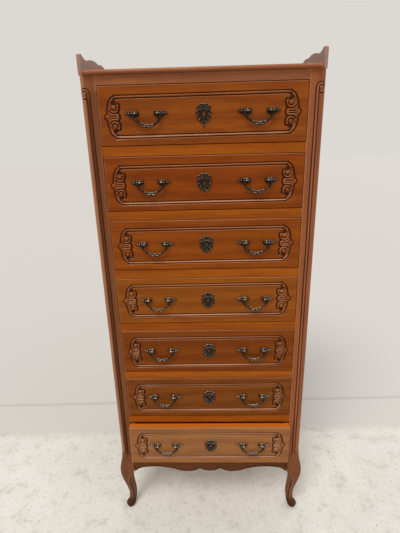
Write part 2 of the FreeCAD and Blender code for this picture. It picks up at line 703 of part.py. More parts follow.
def drawer_side():
    """Right-hand side with its tails, grooved for the bottom and housed for the back."""
    x1 = FRONT_WIDTH / 2
    low = side_bottom()
    side = box(x1 - SIDE_THICKNESS, x1, FRONT_THICKNESS, FRONT_THICKNESS + BOX_DEPTH, low, side_top())
    first = -FRONT_HEIGHT / 2
    spacing = (side_top() - first) / DOVETAIL_COUNT
    for number in range(DOVETAIL_COUNT):
        side = side.fuse(dovetail(first + (number + 0.5) * spacing))
    side = side.removeSplitter()
    return side.cut(drawer_bottom()).cut(drawer_back())


def drawer_front():
    half = FRONT_WIDTH / 2
    board = box(-half, half, 0, FRONT_THICKNESS, -FRONT_HEIGHT / 2, FRONT_HEIGHT / 2)
    board = moulded(board)
    for piece in scroll_carving():
        board = board.fuse(piece).fuse(mirrored(piece))
    side = drawer_side()
    board = board.cut(side).cut(mirrored(side)).cut(drawer_bottom())
    return board.removeSplitter()


# ---- drop handles, in a frame with the pivot's middle at the origin ----------------------
def pin_round(radius, x0, x1):
    """Pin, or hole for one, along the pivot axis, drawn with flats."""
    ring = [Vector(x0, radius * math.cos(a), radius * math.sin(a))
            for a in (2 * math.pi * (k + 0.5) / PIN_SIDES for k in range(PIN_SIDES))]
    return polygon(ring).extrude(Vector(x1 - x0, 0, 0))


def knuckle():
    """Lug that stands out from the leaf, its end round about the pivot axis, before it is bored."""
    inner = PIVOT_SPREAD - KNUCKLE_LENGTH / 2
    root = PIVOT_STAND - LEAF_THICKNESS / 2
    top = Vector(inner, 0, KNUCKLE_RADIUS)
    low = Vector(inner, 0, -KNUCKLE_RADIUS)
    root_top = Vector(inner, root, KNUCKLE_ROOT / 2)
    root_low = Vector(inner, root, -KNUCKLE_ROOT / 2)
    profile = face_of([
        arc(low, Vector(inner, -KNUCKLE_RADIUS, 0), top),
        line(top, root_top),
        line(root_top, root_low),
        line(root_low, low),
    ])
    return profile.extrude(Vector(KNUCKLE_LENGTH, 0, 0))


def leaf_mount():
    """Right-hand mount: a leaf against the wood, with a knuckle bored for the bail's pin."""
    wood = PIVOT_STAND
    inner = PIVOT_SPREAD - KNUCKLE_LENGTH / 2

    def outline(share, y):
        """Leaf outline on the plane y, drawn in towards the middle of the leaf by a share."""
        def at(out, up):
            middle = inner + (0.5 - LEAF_LAP) * LEAF_LENGTH
            return Vector(middle + share * (out - 0.5) * LEAF_LENGTH, y, share * up * LEAF_HEIGHT)
        return [at(0, 0), at(0.2, 0.45), at(0.65, 0.5), at(1, 0.2), at(0.62, -0.25),
                at(0.28, -0.5)]
    leaf = skinned([outline(1, wood), outline(LEAF_TAPER, wood - LEAF_THICKNESS)])
    across_flats = PIN_RADIUS + PIN_CLEARANCE
    bore = pin_round(across_flats / math.cos(math.pi / PIN_SIDES), 0, inner + LEAF_LENGTH)
    return leaf.fuse(knuckle()).cut(bore).removeSplitter()


def bail():
    """Cast drop handle: tapered arms that sweep down to a bow at the middle, and two pins."""
    arm_in = PIVOT_SPREAD + KNUCKLE_LENGTH / 2 + ARM_CLEARANCE
    arm_out = arm_in + ARM_WIDTH
    arm_middle = (arm_in + arm_out) / 2
    low = -BAIL_DROP
    bow = 0.4 * arm_out         # half-width of the bow at the bottom

    def at(x, z, up=0):
        """Point on the front of the bail, raised by a share of the arm's width."""
        return Vector(x, -BAIL_THICKNESS / 2, z + up * ARM_WIDTH)
    right = [
        at(0, low, -0.7), at(0.35 * bow, low), at(0.7 * bow, low, -0.25), at(bow, low, 0.25),
        at(0.75 * arm_out, 0.68 * low), at(0.93 * arm_out, 0.36 * low), at(arm_out, 0),
        at(arm_middle, KNUCKLE_RADIUS), at(arm_in, 0), at(arm_in, -KNUCKLE_RADIUS),
        at(0.68 * arm_in, 0.6 * low), at(0.9 * bow, low, 1.1), at(0.6 * bow, low, 0.8),
        at(0, low, 1.7),
    ]
    left = [Vector(-point.x, point.y, point.z) for point in reversed(right[1:-1])]
    body = polygon(right + left).extrude(Vector(0, BAIL_THICKNESS, 0))
    inner = PIVOT_SPREAD - KNUCKLE_LENGTH / 2
    pin = pin_round(PIN_RADIUS, inner, arm_middle)
    return body.fuse(pin).fuse(mirrored(pin)).removeSplitter()


def escutcheon(pendant):
    """Pierced keyhole plate, pointed above and below; the top drawer's has a longer tail."""
    ring = []
    for lobe in range(ESCUTCHEON_LOBES):
        for share, reach in ((-0.25, 0.93), (0.25, 0.93), (0.5, 0.82)):
            turn = (lobe + share) * 2 * math.pi / ESCUTCHEON_LOBES + math.pi / 2
            ring.append(Vector(reach * ESCUTCHEON_WIDTH / 2 * math.cos(turn), 0,
                               reach * ESCUTCHEON_HEIGHT / 2 * math.sin(turn)))
    plate = polygon(ring).extrude(Vector(0, -ESCUTCHEON_THICKNESS, 0))
    if pendant:
        tail = boss(PENDANT_LENGTH / 2, 0, -ESCUTCHEON_HEIGHT / 2, ESCUTCHEON_THICKNESS, CARVING_SIDES)
        plate = plate.fuse(tail)
    opening = boss(OPENING_RADIUS, 0, 0, 2 * ESCUTCHEON_THICKNESS, OPENING_SIDES)
    opening.translate(Vector(0, ESCUTCHEON_THICKNESS / 2, 0))
    return plate.cut(opening).removeSplitter()


# ---- build ------------------------------------------------------------------------------
def build_case():
    save_pair("front_post", front_post())
    save_pair("front_leg", front_leg())
    save_pair("rear_post", rear_leg_and_post())
    save_pair("side_panel", side_panel())
    save_pair("side_apron", side_apron())
    save_pair("gallery_side", gallery_side())
    save("gallery_back", [gallery_back()])
    save("top_board", [top_board()])
    save("top_rail", [rail(POST_TOP - TOP_RAIL_HEIGHT, TOP_RAIL_HEIGHT, TOP_RAIL_DEPTH)])
    save("drawer_rails", [rail(z, RAIL_HEIGHT, RAIL_DEPTH) for z in rail_bottoms()])
    save("bottom_rail", [bottom_rail()])
    save("front_apron", [apron()])
    save("back_panel", [back_panel()])
    save("back_rails", back_rails())
    runners = [runner(number) for number in range(1, DRAWER_COUNT + 1)]
    save("runners_left", [mirrored(strip) for strip in runners])
    save("runners_right", runners)
    save("drawer_stops", drawer_stops())
    save("glue_blocks", glue_blocks())


def build_drawer(number):
    lift = opening_bottom(number) + REVEAL + FRONT_HEIGHT / 2
    place = Vector(0, -AJAR if number == AJAR_DRAWER else 0, lift)
    name = "drawer_" + str(number) + "_"
    side = drawer_side()
    boards = [side, mirrored(side), drawer_back(), drawer_bottom()]
    mount = leaf_mount()
    plate = escutcheon(number == 1)
    fittings = [plate]
    for handle, label in ((-HANDLE_OFFSET, "left"), (HANDLE_OFFSET, "right")):
        pivot = Vector(handle, -PIVOT_STAND, HANDLE_RISE)
        for half in (mount, mirrored(mount)):
            fittings.append(half.translated(pivot))
        save(name + "bail_" + label, [bail().translated(pivot + place)])
    save(name + "front", [drawer_front().translated(place)])
    save(name + "box", [board.translated(place) for board in boards])
    save(name + "fittings", [fitting.translated(place) for fitting in fittings])


def main():
    os.makedirs("parts", exist_ok=True)
    build_case()
    for number in range(1, DRAWER_COUNT + 1):
        build_drawer(number)


main()
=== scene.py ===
import json
import math

import bmesh
import bpy
import numpy as np
from mathutils import Matrix, Vector


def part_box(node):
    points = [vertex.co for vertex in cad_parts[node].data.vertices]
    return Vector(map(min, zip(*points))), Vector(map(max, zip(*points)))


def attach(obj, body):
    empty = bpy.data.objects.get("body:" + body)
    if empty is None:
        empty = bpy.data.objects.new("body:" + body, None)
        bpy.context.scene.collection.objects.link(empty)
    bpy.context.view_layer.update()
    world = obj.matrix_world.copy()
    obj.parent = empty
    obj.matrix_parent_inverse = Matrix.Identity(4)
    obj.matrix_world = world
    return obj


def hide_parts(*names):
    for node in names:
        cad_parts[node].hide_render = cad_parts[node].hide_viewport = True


# Semainier: carved drawer fronts, posts, legs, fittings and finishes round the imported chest.
# Lengths are in millimetres, apart from the frame's boxes, the sidebar's sizes, the finished meshes and
# the stage, which are in metres.

bl_info = {
    "name": "Semainier",
    "version": (1, 0, 0),
    "blender": (4, 5, 0),
    "location": "View3D > Sidebar > Semainier",
    "description": "Carving, cabriole legs, drop handles and finishes of a tall chest of drawers",
    "category": "Add Mesh",
}

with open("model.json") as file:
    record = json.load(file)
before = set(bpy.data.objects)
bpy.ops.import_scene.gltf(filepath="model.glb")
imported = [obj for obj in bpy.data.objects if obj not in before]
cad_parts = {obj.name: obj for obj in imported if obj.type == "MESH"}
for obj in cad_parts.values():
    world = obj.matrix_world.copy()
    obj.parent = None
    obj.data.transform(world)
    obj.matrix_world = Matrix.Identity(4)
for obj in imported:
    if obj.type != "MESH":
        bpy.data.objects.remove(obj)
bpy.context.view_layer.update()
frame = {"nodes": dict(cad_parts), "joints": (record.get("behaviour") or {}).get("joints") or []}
NODES = frame["nodes"]
DRAWERS = range(1, 8)
SIDES = (("left", -1), ("right", 1))
MM = 0.001


def drawer(number, part=""):
    """Name of a drawer, or of a node of it."""
    return "drawer_" + str(number) + part


def hinge_place(number, label):
    """Middle of one handle's pivot axis."""
    name = "bail_" + str(number) + "_" + label + "_hinge"
    return Vector(next(joint["pos_m"] for joint in frame["joints"] if joint["name"] == name))


FRONT_THICKNESS = 22.0
FRONT_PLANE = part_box("top_rail")[0].y           # front face of the rails and posts
POST_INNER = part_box("top_rail")[1].x - 0.010    # side of the opening, less the rail's tenon
POST_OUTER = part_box("side_panel_right")[1].x + 0.003
APRON_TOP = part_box("front_apron")[1].z
POST_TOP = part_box("top_rail")[1].z


# ---- sizes and colours that a user would change ----
def length(name, about, value):
    return bpy.props.FloatProperty(name=name, description=about, default=value, unit="LENGTH", precision=4)


class ChestSizes(bpy.types.PropertyGroup):
    groove_depth: length("Groove depth", "Depth of the grooves beside the carved bead", 0.0030)
    scroll_rise: length("Scroll rise", "How far the scrolls stand proud of a drawer front", 0.0030)
    edge_round: length("Edge rounding", "Rounding of the edges of drawer fronts", 0.0013)
    board_round: length("Board edge", "Eased edges of the plain boards", 0.0009)
    post_groove: length("Post groove", "Depth of the grooves beside the post's bead", 0.0022)
    arm_radius: length("Handle arm", "Thickness of a handle's arm, as a radius", 0.0023)


def colour(name, about, value):
    return bpy.props.FloatVectorProperty(name=name, description=about, subtype="COLOR", size=3, min=0.0,
                                         max=1.0, default=value)


class ChestColours(bpy.types.PropertyGroup):
    show_light: colour("Show wood, light", "Light grain of the lacquered wood", (0.325, 0.082, 0.0035))
    show_deep: colour("Show wood, deep", "Dark grain of the lacquered wood", (0.185, 0.038, 0.0016))
    # Colour of the patina and of the painted shade in the carving, legs and apron.
    patina: colour("Patina", "Dark colour in the carving", (0.05, 0.0135, 0.0045))
    # Colour of wear and of painted highlights on crests, edges and up-facing slopes.
    crest: colour("Worn wood", "Pale rubbed colour on edges and crests", (0.64, 0.31, 0.175))
    bare_light: colour("Bare wood", "Unfinished wood of the drawer boxes", (0.62, 0.43, 0.25))
    bare_deep: colour("Bare wood, deep", "Dark grain of the unfinished wood", (0.42, 0.25, 0.12))
    bronze_dark: colour("Bronze, dark", "Antiqued ground of the handles", (0.022, 0.0135, 0.0085))
    # Colour of rubbed high spots and of painted highlights on the metal's upper faces.
    bronze_bright: colour("Bronze, bright", "Rubbed high spots of the handles", (0.62, 0.46, 0.33))
    floor: colour("Floor", "Pale floor", (0.765, 0.757, 0.7))
    wall: colour("Wall", "White wall", (0.645, 0.63, 0.60))
    sky: colour("Backdrop", "Wall beyond the floor's edge", (0.716, 0.69, 0.65))


def sizes():
    return bpy.context.scene.chest_sizes


def colours():
    return bpy.context.scene.chest_colours


# ---- finishes ----
def arithmetic(operation, swapped=False):
    """Method that joins a wire and another value in a Math node."""
    def join(wire, other):
        first, second = (other, wire) if swapped else (wire, other)
        return wire.finish.node("ShaderNodeMath", {"operation": operation}, {0: first, 1: second})
    return join


class Wire:
    """One socket of a finish. Arithmetic on it adds Math nodes."""

    def __init__(self, finish, socket):
        self.finish = finish
        self.socket = socket

    __add__ = arithmetic("ADD")
    __radd__ = arithmetic("ADD", True)
    __sub__ = arithmetic("SUBTRACT")
    __rsub__ = arithmetic("SUBTRACT", True)
    __mul__ = arithmetic("MULTIPLY")


class Finish:
    """Shader of a material or of the world, built node by node."""

    def __init__(self, owner):
        owner.use_nodes = True
        self.owner = owner
        self.tree = owner.node_tree
        self.tree.nodes.clear()

    def node(self, kind, settings=None, inputs=None, out=0):
        made = self.tree.nodes.new(kind)
        for name, value in (settings or {}).items():
            setattr(made, name, value)
        for key, value in (inputs or {}).items():
            if isinstance(value, Wire):
                self.tree.links.new(value.socket, made.inputs[key])
            else:
                made.inputs[key].default_value = value
        return None if out is None else Wire(self, made.outputs[out])

    def mix(self, share, first, second):
        """Colour between two colours."""
        return self.node("ShaderNodeMix", {"data_type": "RGBA", "clamp_factor": True},
                         {0: share, 6: opaque(first), 7: opaque(second)}, out=2)

    def ease(self, value, low, high, start=0.0, end=1.0):
        """Smooth step of a value from start, at low, to end, at high."""
        return self.node("ShaderNodeMapRange", {"interpolation_type": "SMOOTHSTEP"},
                         {0: value, 1: low, 2: high, 3: start, 4: end})

    def noise(self, place, scale, detail=2.0, roughness=0.5, distortion=0.0):
        return self.node("ShaderNodeTexNoise", {}, {
            "Vector": place, "Scale": scale, "Detail": detail, "Roughness": roughness,
            "Distortion": distortion})

    def stretched(self, place, scale, turn=(0, 0, 0), shift=(0, 0, 0)):
        """A place scaled, turned and moved, so that a pattern laid on it is too."""
        return self.node("ShaderNodeMapping", {}, {
            "Vector": place, "Scale": scale, "Rotation": turn, "Location": shift})

    def mark(self, name):
        """Value of a named mark on the mesh."""
        return self.node("ShaderNodeAttribute", {"attribute_name": name}, out=2)

    def part_of(self, vector, axis):
        """One of a vector's three parts: 0, 1 or 2."""
        return self.node("ShaderNodeSeparateXYZ", {}, {0: vector}, out=axis)

    def bump(self, height, strength, distance):
        return self.node("ShaderNodeBump", {}, {"Strength": strength, "Distance": distance, "Height": height})

    def close(self, inputs):
        """Ends the finish in one Principled shader with these inputs."""
        shader = self.node("ShaderNodeBsdfPrincipled", {}, inputs)
        self.node("ShaderNodeOutputMaterial", {}, {"Surface": shader}, out=None)
        return self.owner


def opaque(value):
    return value if isinstance(value, Wire) else (*value[:3], 1.0)


CHIPPED_WOOD = (0.6, 0.38, 0.27)
LIT_TOP_EDGE = (0.62, 0.155, 0.008)       # painted highlight, brighter and more orange, on the top faces of a drawer's board where light from above falls
BRONZE_BLOOM = (0.02, 0.026, 0.024)

# Turns that lay a grain along an axis.
ALONG_X = (0, 0, 0)
ALONG_Y = (0, 0, math.pi / 2)
ALONG_Z = (0, math.pi / 2, 0)


def grain_of(finish, turn, seed):
    """Long streaks, fine pores and a slow figure, all running along one axis."""
    place = finish.node("ShaderNodeTexCoord", out=3)
    place = finish.stretched(place, (1, 1, 1), turn, (seed * 0.37, seed * 0.61, seed * 0.23))
    long = finish.stretched(place, (1.0, 13.0, 13.0))
    streak = finish.noise(long, 11.0, 5.0, 0.6, 0.3)
    fine = finish.noise(finish.stretched(place, (1.0, 26.0, 26.0)), 30.0, 3.0, 0.6)
    figure = finish.node("ShaderNodeTexWave", {"bands_direction": "Z", "wave_profile": "SIN"}, {
        "Vector": finish.stretched(place, (0.3, 1.0, 1.0)), "Scale": 7.0, "Distortion": 5.5,
        "Detail": 2.5, "Detail Scale": 1.3, "Detail Roughness": 0.55}, out=1)
    cloud = finish.noise(place, 4.5, 2.0)
    return place, streak, fine, figure, cloud


def lacquered(name, turn, seed, light, deep, carved=True):
    """Satin lacquered fruitwood, darkened in its carving by patina and painted shade, pale on its crests with
    wear and painted highlights, and with a painted highlight on the upward faces of the board behind the
    carving.
    """
    finish = Finish(bpy.data.materials.new(name))
    tint = colours()
    place, streak, fine, figure, cloud = grain_of(finish, turn, seed)
    tone = finish.ease(streak * 0.44 + fine * 0.42 + figure * 0.14, 0.28, 0.7)
    base = finish.mix(tone, deep, light)
    base = finish.mix(finish.ease(cloud, 0.35, 0.7, 0.0, 0.3), base, deep)
    rough = finish.ease(streak, 0.3, 0.7, 0.36, 0.46)
    if carved:
        dark = finish.mark("patina")
        wear_and_highlight = finish.mark("crest")
        chips = finish.ease(finish.noise(place, 120.0, 2.0), 0.6, 0.68)
        # Wear and painted highlights in the pale crest colour, then chips, then patina and painted shade.
        base = finish.mix(wear_and_highlight * finish.ease(cloud, 0.3, 0.65, 0.4, 0.85), base, tuple(tint.crest))
        base = finish.mix(wear_and_highlight * chips * 0.4, base, CHIPPED_WOOD)
        base = finish.mix(dark * 0.9, base, tuple(tint.patina))
        rough = rough - wear_and_highlight * 0.1 + dark * 0.2
        # Painted highlight on the upward faces of the board behind the carving.
        upward = finish.part_of(finish.node("ShaderNodeNewGeometry", out=1), 2)
        inside = finish.ease(finish.mark("inside"), 0.4, 0.6)
        base = finish.mix(inside * finish.ease(upward, 0.8, 0.97, 0.0, 0.85), base, LIT_TOP_EDGE)
    return finish.close({"Base Color": base, "Roughness": rough, "Specular IOR Level": 0.09,
                         "Coat Weight": 0.02, "Coat Roughness": 0.2,
                         "Normal": finish.bump(fine * 0.5 + streak * 0.5, 0.16, 0.0006)})


def bare(name, turn, seed, light, deep):
    """Unfinished boards inside the case and the drawers."""
    finish = Finish(bpy.data.materials.new(name))
    _, streak, fine, figure, cloud = grain_of(finish, turn, seed)
    tone = finish.ease(streak * 0.5 + fine * 0.3 + figure * 0.2, 0.32, 0.7)
    base = finish.mix(tone, deep, light)
    base = finish.mix(finish.ease(cloud, 0.4, 0.75, 0.0, 0.3), base, deep)
    return finish.close({"Base Color": base, "Roughness": finish.ease(fine, 0.3, 0.7, 0.62, 0.8),
                         "Normal": finish.bump(fine, 0.3, 0.0008)})


def bronze(name):
    """Antiqued bronze, nearly black in its hollows, rubbed bright on its high spots, with painted highlights
    on its upper faces.
    """
    finish = Finish(bpy.data.materials.new(name))
    tint = colours()
    place = finish.node("ShaderNodeTexCoord", out=3)
    speck = finish.noise(place, 420.0, 3.0, 0.6)
    blotch = finish.noise(place, 90.0, 2.0)
    rub_and_highlight = finish.ease(finish.mark("rub_and_highlight") + (speck - 0.5) * 0.5 + (blotch - 0.5) * 0.3, 0.4, 0.95)
    base = finish.mix(rub_and_highlight, tuple(tint.bronze_dark), tuple(tint.bronze_bright))
    base = finish.mix(finish.ease(blotch, 0.56, 0.74, 0.0, 0.25), base, BRONZE_BLOOM)
    return finish.close({"Base Color": base, "Metallic": 0.3 + rub_and_highlight * 0.6,
                         "Roughness": 0.46 - rub_and_highlight * 0.16 + speck * 0.08, "Specular IOR Level": 0.18,
                         "Normal": finish.bump(speck, 0.35, 0.0004)})


FINISHES = {}


def finish_called(name, make, *terms):
    """The finish of that name, made the first time it is asked for."""
    if name not in FINISHES:
        FINISHES[name] = make(name, *terms)
    return FINISHES[name]


def lighter(value, share):
    """A colour with each of its parts times a share."""
    return tuple(min(1.0, part * share) for part in value)


def show_wood(name, turn, seed, bright, warm, painted_sheen, carved=True):
    """Lacquered wood made brighter or more golden than the plain colours, with a painted sheen added evenly
    to its colour.
    """
    tint = colours()
    light, deep = (
        tuple(part * k + painted_sheen for part, k in zip(plain, (bright, bright * warm, bright * warm)))
        for plain in (tint.show_light, tint.show_deep))
    return finish_called(name, lacquered, turn, seed, light, deep, carved)


# ---- shaping helpers ----
def smooth_run(points, steps=6):
    """Points along a rounded line through a few given ones."""
    given = np.array(points, float)
    ends = np.vstack([2 * given[0] - given[1], given, 2 * given[-1] - given[-2]])
    t = np.linspace(0, 1, steps, endpoint=False)[:, None]
    parts = []
    for a, b, c, d in zip(ends, ends[1:], ends[2:], ends[3:]):
        parts.append(0.5 * (2 * b + (c - a) * t + (2 * a - 5 * b + 4 * c - d) * t ** 2
                            + (3 * b - a - 3 * c + d) * t ** 3))
    return np.vstack(parts + [given[-1:]])


def unit(value):
    """A value held between 0 and 1."""
    return np.clip(value, 0, 1)


def hump(gap, half):
    """1 where a gap is nothing, falling to 0 where it is half the width of a groove or bead."""
    return unit(1 - (gap / half) ** 2)


def height_of(line, places):
    """Height of a drawn line at each place along it."""
    return np.interp(places, *np.array(line).T)


def steps_between(*stops):
    """Places from stop to stop; each stop is a place and the step used after it."""
    places = []
    for (start, step), (end, _) in zip(stops, stops[1:]):
        count = max(1, round(abs(end - start) / step))
        places.extend(np.linspace(start, end, count, endpoint=False))
    return np.array(places + [stops[-1][0]])


def away(x, z, run):
    """Distance of each place from a run of points."""
    nearest = np.full(x.shape, 1e6)
    for (ax, az), (bx, bz) in zip(run[:-1], run[1:]):
        dx = bx - ax
        dz = bz - az
        t = unit(((x - ax) * dx + (z - az) * dz) / (dx * dx + dz * dz + 1e-12))
        nearest = np.minimum(nearest, np.hypot(x - ax - t * dx, z - az - t * dz))
    return nearest


def spiral(centre, start, end, first, turns, steps):
    """Run that winds in about a centre from one radius to another; first is its starting angle."""
    share = np.linspace(0, 1, steps)
    radius = start + (end - start) * share
    angle = math.radians(first) + share * turns * 2 * math.pi
    return np.stack([centre[0] + radius * np.cos(angle), centre[1] + radius * np.sin(angle)], 1)


class Carving:
    """Height of a carved face above its plain level, where it is dark (patina and painted shade) and where
    pale (wear and painted highlight), in millimetres.
    """

    def __init__(self, x, z):
        self.x = x
        self.z = z
        self.rise = np.zeros_like(x)
        self.cut = np.zeros_like(x)
        self.shade = np.zeros_like(x)
        self.crest = np.zeros_like(x)
        self.dull = 0.0

    def groove(self, run, half, depth):
        share = hump(away(self.x, self.z, run), half)
        self.cut = np.maximum(self.cut, depth * share)
        self.shade = np.maximum(self.shade, share)

    def ridge(self, run, half, rise):
        share = hump(away(self.x, self.z, run), half)
        self.rise = np.maximum(self.rise, rise * np.sqrt(share))
        self.crest = np.maximum(self.crest, share)

    def disc(self, centre, radius, rise):
        share = hump(np.hypot(self.x - centre[0], self.z - centre[1]), radius)
        self.rise = np.maximum(self.rise, rise * np.sqrt(share))

    def height(self):
        return self.rise * (1 - self.shade) - self.cut

    def marks(self, held):
        """Patina and painted shade where it is cut deep, painted shade where it faces down or turns from the
        light beside a scroll, and a painted highlight where it faces up to the light.

        Held is how pale its crests are apart from that."""
        height = self.height()
        up = np.gradient(height, self.z[:, 0], axis=0)
        across = np.gradient(height, self.x[0], axis=1)
        # lit is a painted highlight on slopes that face up and left; hidden is painted shade on slopes that
        # face down.
        lit = unit(-0.75 * up + 0.3 * across - 0.12)
        hidden = np.clip(0.5 * up - 0.2 * across - 0.1, 0, 0.55) * unit(self.crest * 3)
        dark = unit(self.shade * 1.45 - 0.1 + hidden + self.dull * (1 - lit))
        return {"patina": dark, "crest": unit(lit * 0.9 + self.crest * held) * (1 - dark * 0.85)}


def patch(bm, places, marks=None):
    """Grid whose crossings go to places, an array of rows by columns by x, y, z in metres."""
    rows, columns = places.shape[:2]
    marks = marks or {}
    for name in marks:          # made before the vertices, since a new layer leaves held ones stale
        mark_layer(bm, name)
    made = bmesh.ops.create_grid(bm, x_segments=columns - 1, y_segments=rows - 1, size=1.0)["verts"]
    layers = {name: mark_layer(bm, name) for name in marks}
    for vert in made:
        row = round((vert.co.y + 1) / 2 * (rows - 1))
        column = round((vert.co.x + 1) / 2 * (columns - 1))
        vert.co = places[row, column].tolist()
        for name, layer in layers.items():
            vert[layer] = float(marks[name][row, column])
    return made


def mark_layer(bm, name):
    """Number kept on each vertex under a name, which the finishes read."""
    return bm.verts.layers.float.get(name) or bm.verts.layers.float.new(name)


def closed(rings):
    """Rows that end with what they begin with."""
    return np.concatenate([rings, rings[:, :1]], axis=1)


def sleeve(bm, rings, marks=None):
    """Closed skin through rings of points; each ring is a row, and open ends are capped."""
    made = patch(bm, closed(rings), {name: closed(value) for name, value in (marks or {}).items()})
    bmesh.ops.remove_doubles(bm, verts=made, dist=1e-6)
    kept = [vert for vert in made if vert.is_valid]
    rims = list(dict.fromkeys(edge for vert in kept for edge in vert.link_edges if edge.is_boundary))
    if rims:
        bmesh.ops.holes_fill(bm, edges=rims, sides=0)


def at_depth(run, y):
    """Points in space for a run that is drawn flat."""
    return [(x, y, z) for x, z in run]


def swell(run, stops, radii):
    """Radius at each point of a run, from radii given at shares of the way along it."""
    return np.interp(np.linspace(0, 1, len(run)), stops, radii)


def tube(bm, run, radii, sides, flat=1.0):
    """Round bar along a run that lies roughly in a plane square to Y; flat squeezes it along Y."""
    run = np.array(run, float)
    radii = np.array(radii, float)
    along = np.gradient(run, axis=0)
    along /= np.linalg.norm(along, axis=1)[:, None] + 1e-12
    depth = np.tile(np.array([0.0, 1.0, 0.0]), (len(run), 1))
    depth -= along * np.sum(depth * along, axis=1)[:, None]
    depth /= np.linalg.norm(depth, axis=1)[:, None] + 1e-12
    across = np.cross(along, depth)
    turn = np.linspace(0, 2 * math.pi, sides, endpoint=False)
    rings = (run[:, None] + radii[:, None, None] * (
        depth[:, None] * (np.cos(turn) * flat)[None, :, None]
        + across[:, None] * np.sin(turn)[None, :, None]))
    sleeve(bm, rings * MM)


def lathe(bm, profile, centre, axis, sides):
    """Turned shape: profile gives how far along the axis and how wide, from end to end."""
    axis = Vector(axis).normalized()
    one = axis.orthogonal().normalized()
    two = axis.cross(one)
    turns = [2 * math.pi * k / sides for k in range(sides)]
    rings = [[tuple(Vector(centre) + axis * along + (one * math.cos(a) + two * math.sin(a)) * radius)
              for a in turns] for along, radius in profile]
    sleeve(bm, np.array(rings) * MM)


def open_edges(bm):
    return [edge for edge in bm.edges if edge.is_boundary]


def back_off(bm, y):
    """Closes an open face at the back: its rim goes straight back to y, and is filled there."""
    made = bmesh.ops.extrude_edge_only(bm, edges=open_edges(bm))["geom"]
    for part in made:
        if isinstance(part, bmesh.types.BMVert):
            part.co.y = y
    bmesh.ops.holes_fill(bm, edges=open_edges(bm), sides=0)


def add_to(bm, part, place=(0, 0, 0)):
    """Moves a part to its place and joins it to another mesh in the making."""
    bmesh.ops.translate(part, vec=place, verts=part.verts[:])
    held = bpy.data.meshes.new("part")
    part.to_mesh(held)
    part.free()
    bm.from_mesh(held)
    bpy.data.meshes.remove(held)


def to_mesh(name, bm, sharp=35.0):
    """Finished smooth mesh, sharp where faces turn by more than so many degrees."""
    bmesh.ops.recalc_face_normals(bm, faces=bm.faces[:])
    for face in bm.faces:
        face.smooth = True
    mesh = bpy.data.meshes.new(name)
    bm.to_mesh(mesh)
    bm.free()
    mesh.set_sharp_from_angle(angle=math.radians(sharp))
    return mesh


def place_piece(name, mesh, body, material, slot, *stands_for):
    """Puts a finished mesh in the scene, riding on its body."""
    piece = bpy.data.objects.new(name, mesh)
    bpy.context.scene.collection.objects.link(piece)
    mesh.materials.clear()
    mesh.materials.append(material)
    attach(piece, body)
    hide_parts(*stands_for)


def mirror_mesh(mesh, name):
    """Copy of a mesh mirrored from the right-hand side to the left."""
    bm = bmesh.new()
    bm.from_mesh(mesh)
    bmesh.ops.scale(bm, vec=(-1, 1, 1), verts=bm.verts[:])
    bmesh.ops.reverse_faces(bm, faces=bm.faces[:])
    made = bpy.data.meshes.new(name)
    bm.to_mesh(made)
    bm.free()
    return made


# ---- drawer fronts ----
BAND_OUT = [(-2, 48.9), (190, 48.9), (203, 48.5), (210, 46.2), (216, 41.4), (220, 35), (222.4, 28),
            (224, 20.5), (225, 13), (225.6, 8.6)]
BUD = [(225.6, 8.6), (228.4, 6.4), (231.4, 2.6), (232, -0.6), (230.8, -4.6), (226.4, -9)]
BAND_IN = [(-2, 42.2), (190, 42.2), (199.5, 41.9), (205.5, 40.0), (209.6, 36.6), (211.2, 32.4), (210, 28.8),
           (206, 27.6), (202.4, 29.4), (196.5, 30.6)]
ARM = [(-2, 45.6), (190, 45.6), (202, 45.2), (208.6, 42.6), (214, 37.4), (217.2, 31), (219, 24), (220.4, 16),
       (221.4, 8), (221.6, 0)]
COLUMN_EDGE = [(196.5, 30.6), (194.6, 26), (194.4, 20), (196, 14.4), (199.6, 9.4)]
LOBE_EDGE = [(199.6, 9.4), (196, 6.6), (194.8, 2.6), (194.8, -2.6), (196, -6.6), (199.6, -9.4)]
RING = [(198.6, 26.4), (197.4, 21.6), (198.8, 16.4), (203, 12.6), (208.6, 11.6), (213.6, 13), (217, 17),
        (218, 22)]
EYE_LINE = [(203.4, 27), (201.4, 22.4), (201.8, 18), (204.6, 15.2), (208.6, 14.6), (212, 16.2), (213.6, 19.4)]
LOW_LINE = [(199.6, 9.4), (204, 8.8), (210, 8.4), (215.6, 10.6), (219, 14.6)]
COLLAR = [(203, 5.8), (209, 5.4), (214.8, 6.6), (218.8, 10), (220.6, 15)]
COLUMN_FOOT = [(205.6, 33.0), (209.0, 31.6)]
LOW_COLUMN_FOOT = [(207.4, -33.0), (209.8, -31.6)]
SLAB = 0.004                # thickness of the carved face, in metres; the rest of the board is behind it
# How far each drawer's scrollwork was cut beyond its true place: at the left, at the right and upwards.
HAND_CUT = {1: (4.3, 3.4, -1.4), 2: (5.0, 2.4, -2.0), 3: (1.9, 1.4, -1.2), 4: (1.2, 1.5, 1.3),
            5: (2.4, 3.0, -1.6), 6: (1.8, 3.2, -0.6), 7: (1.9, 3.4, 0.2)}


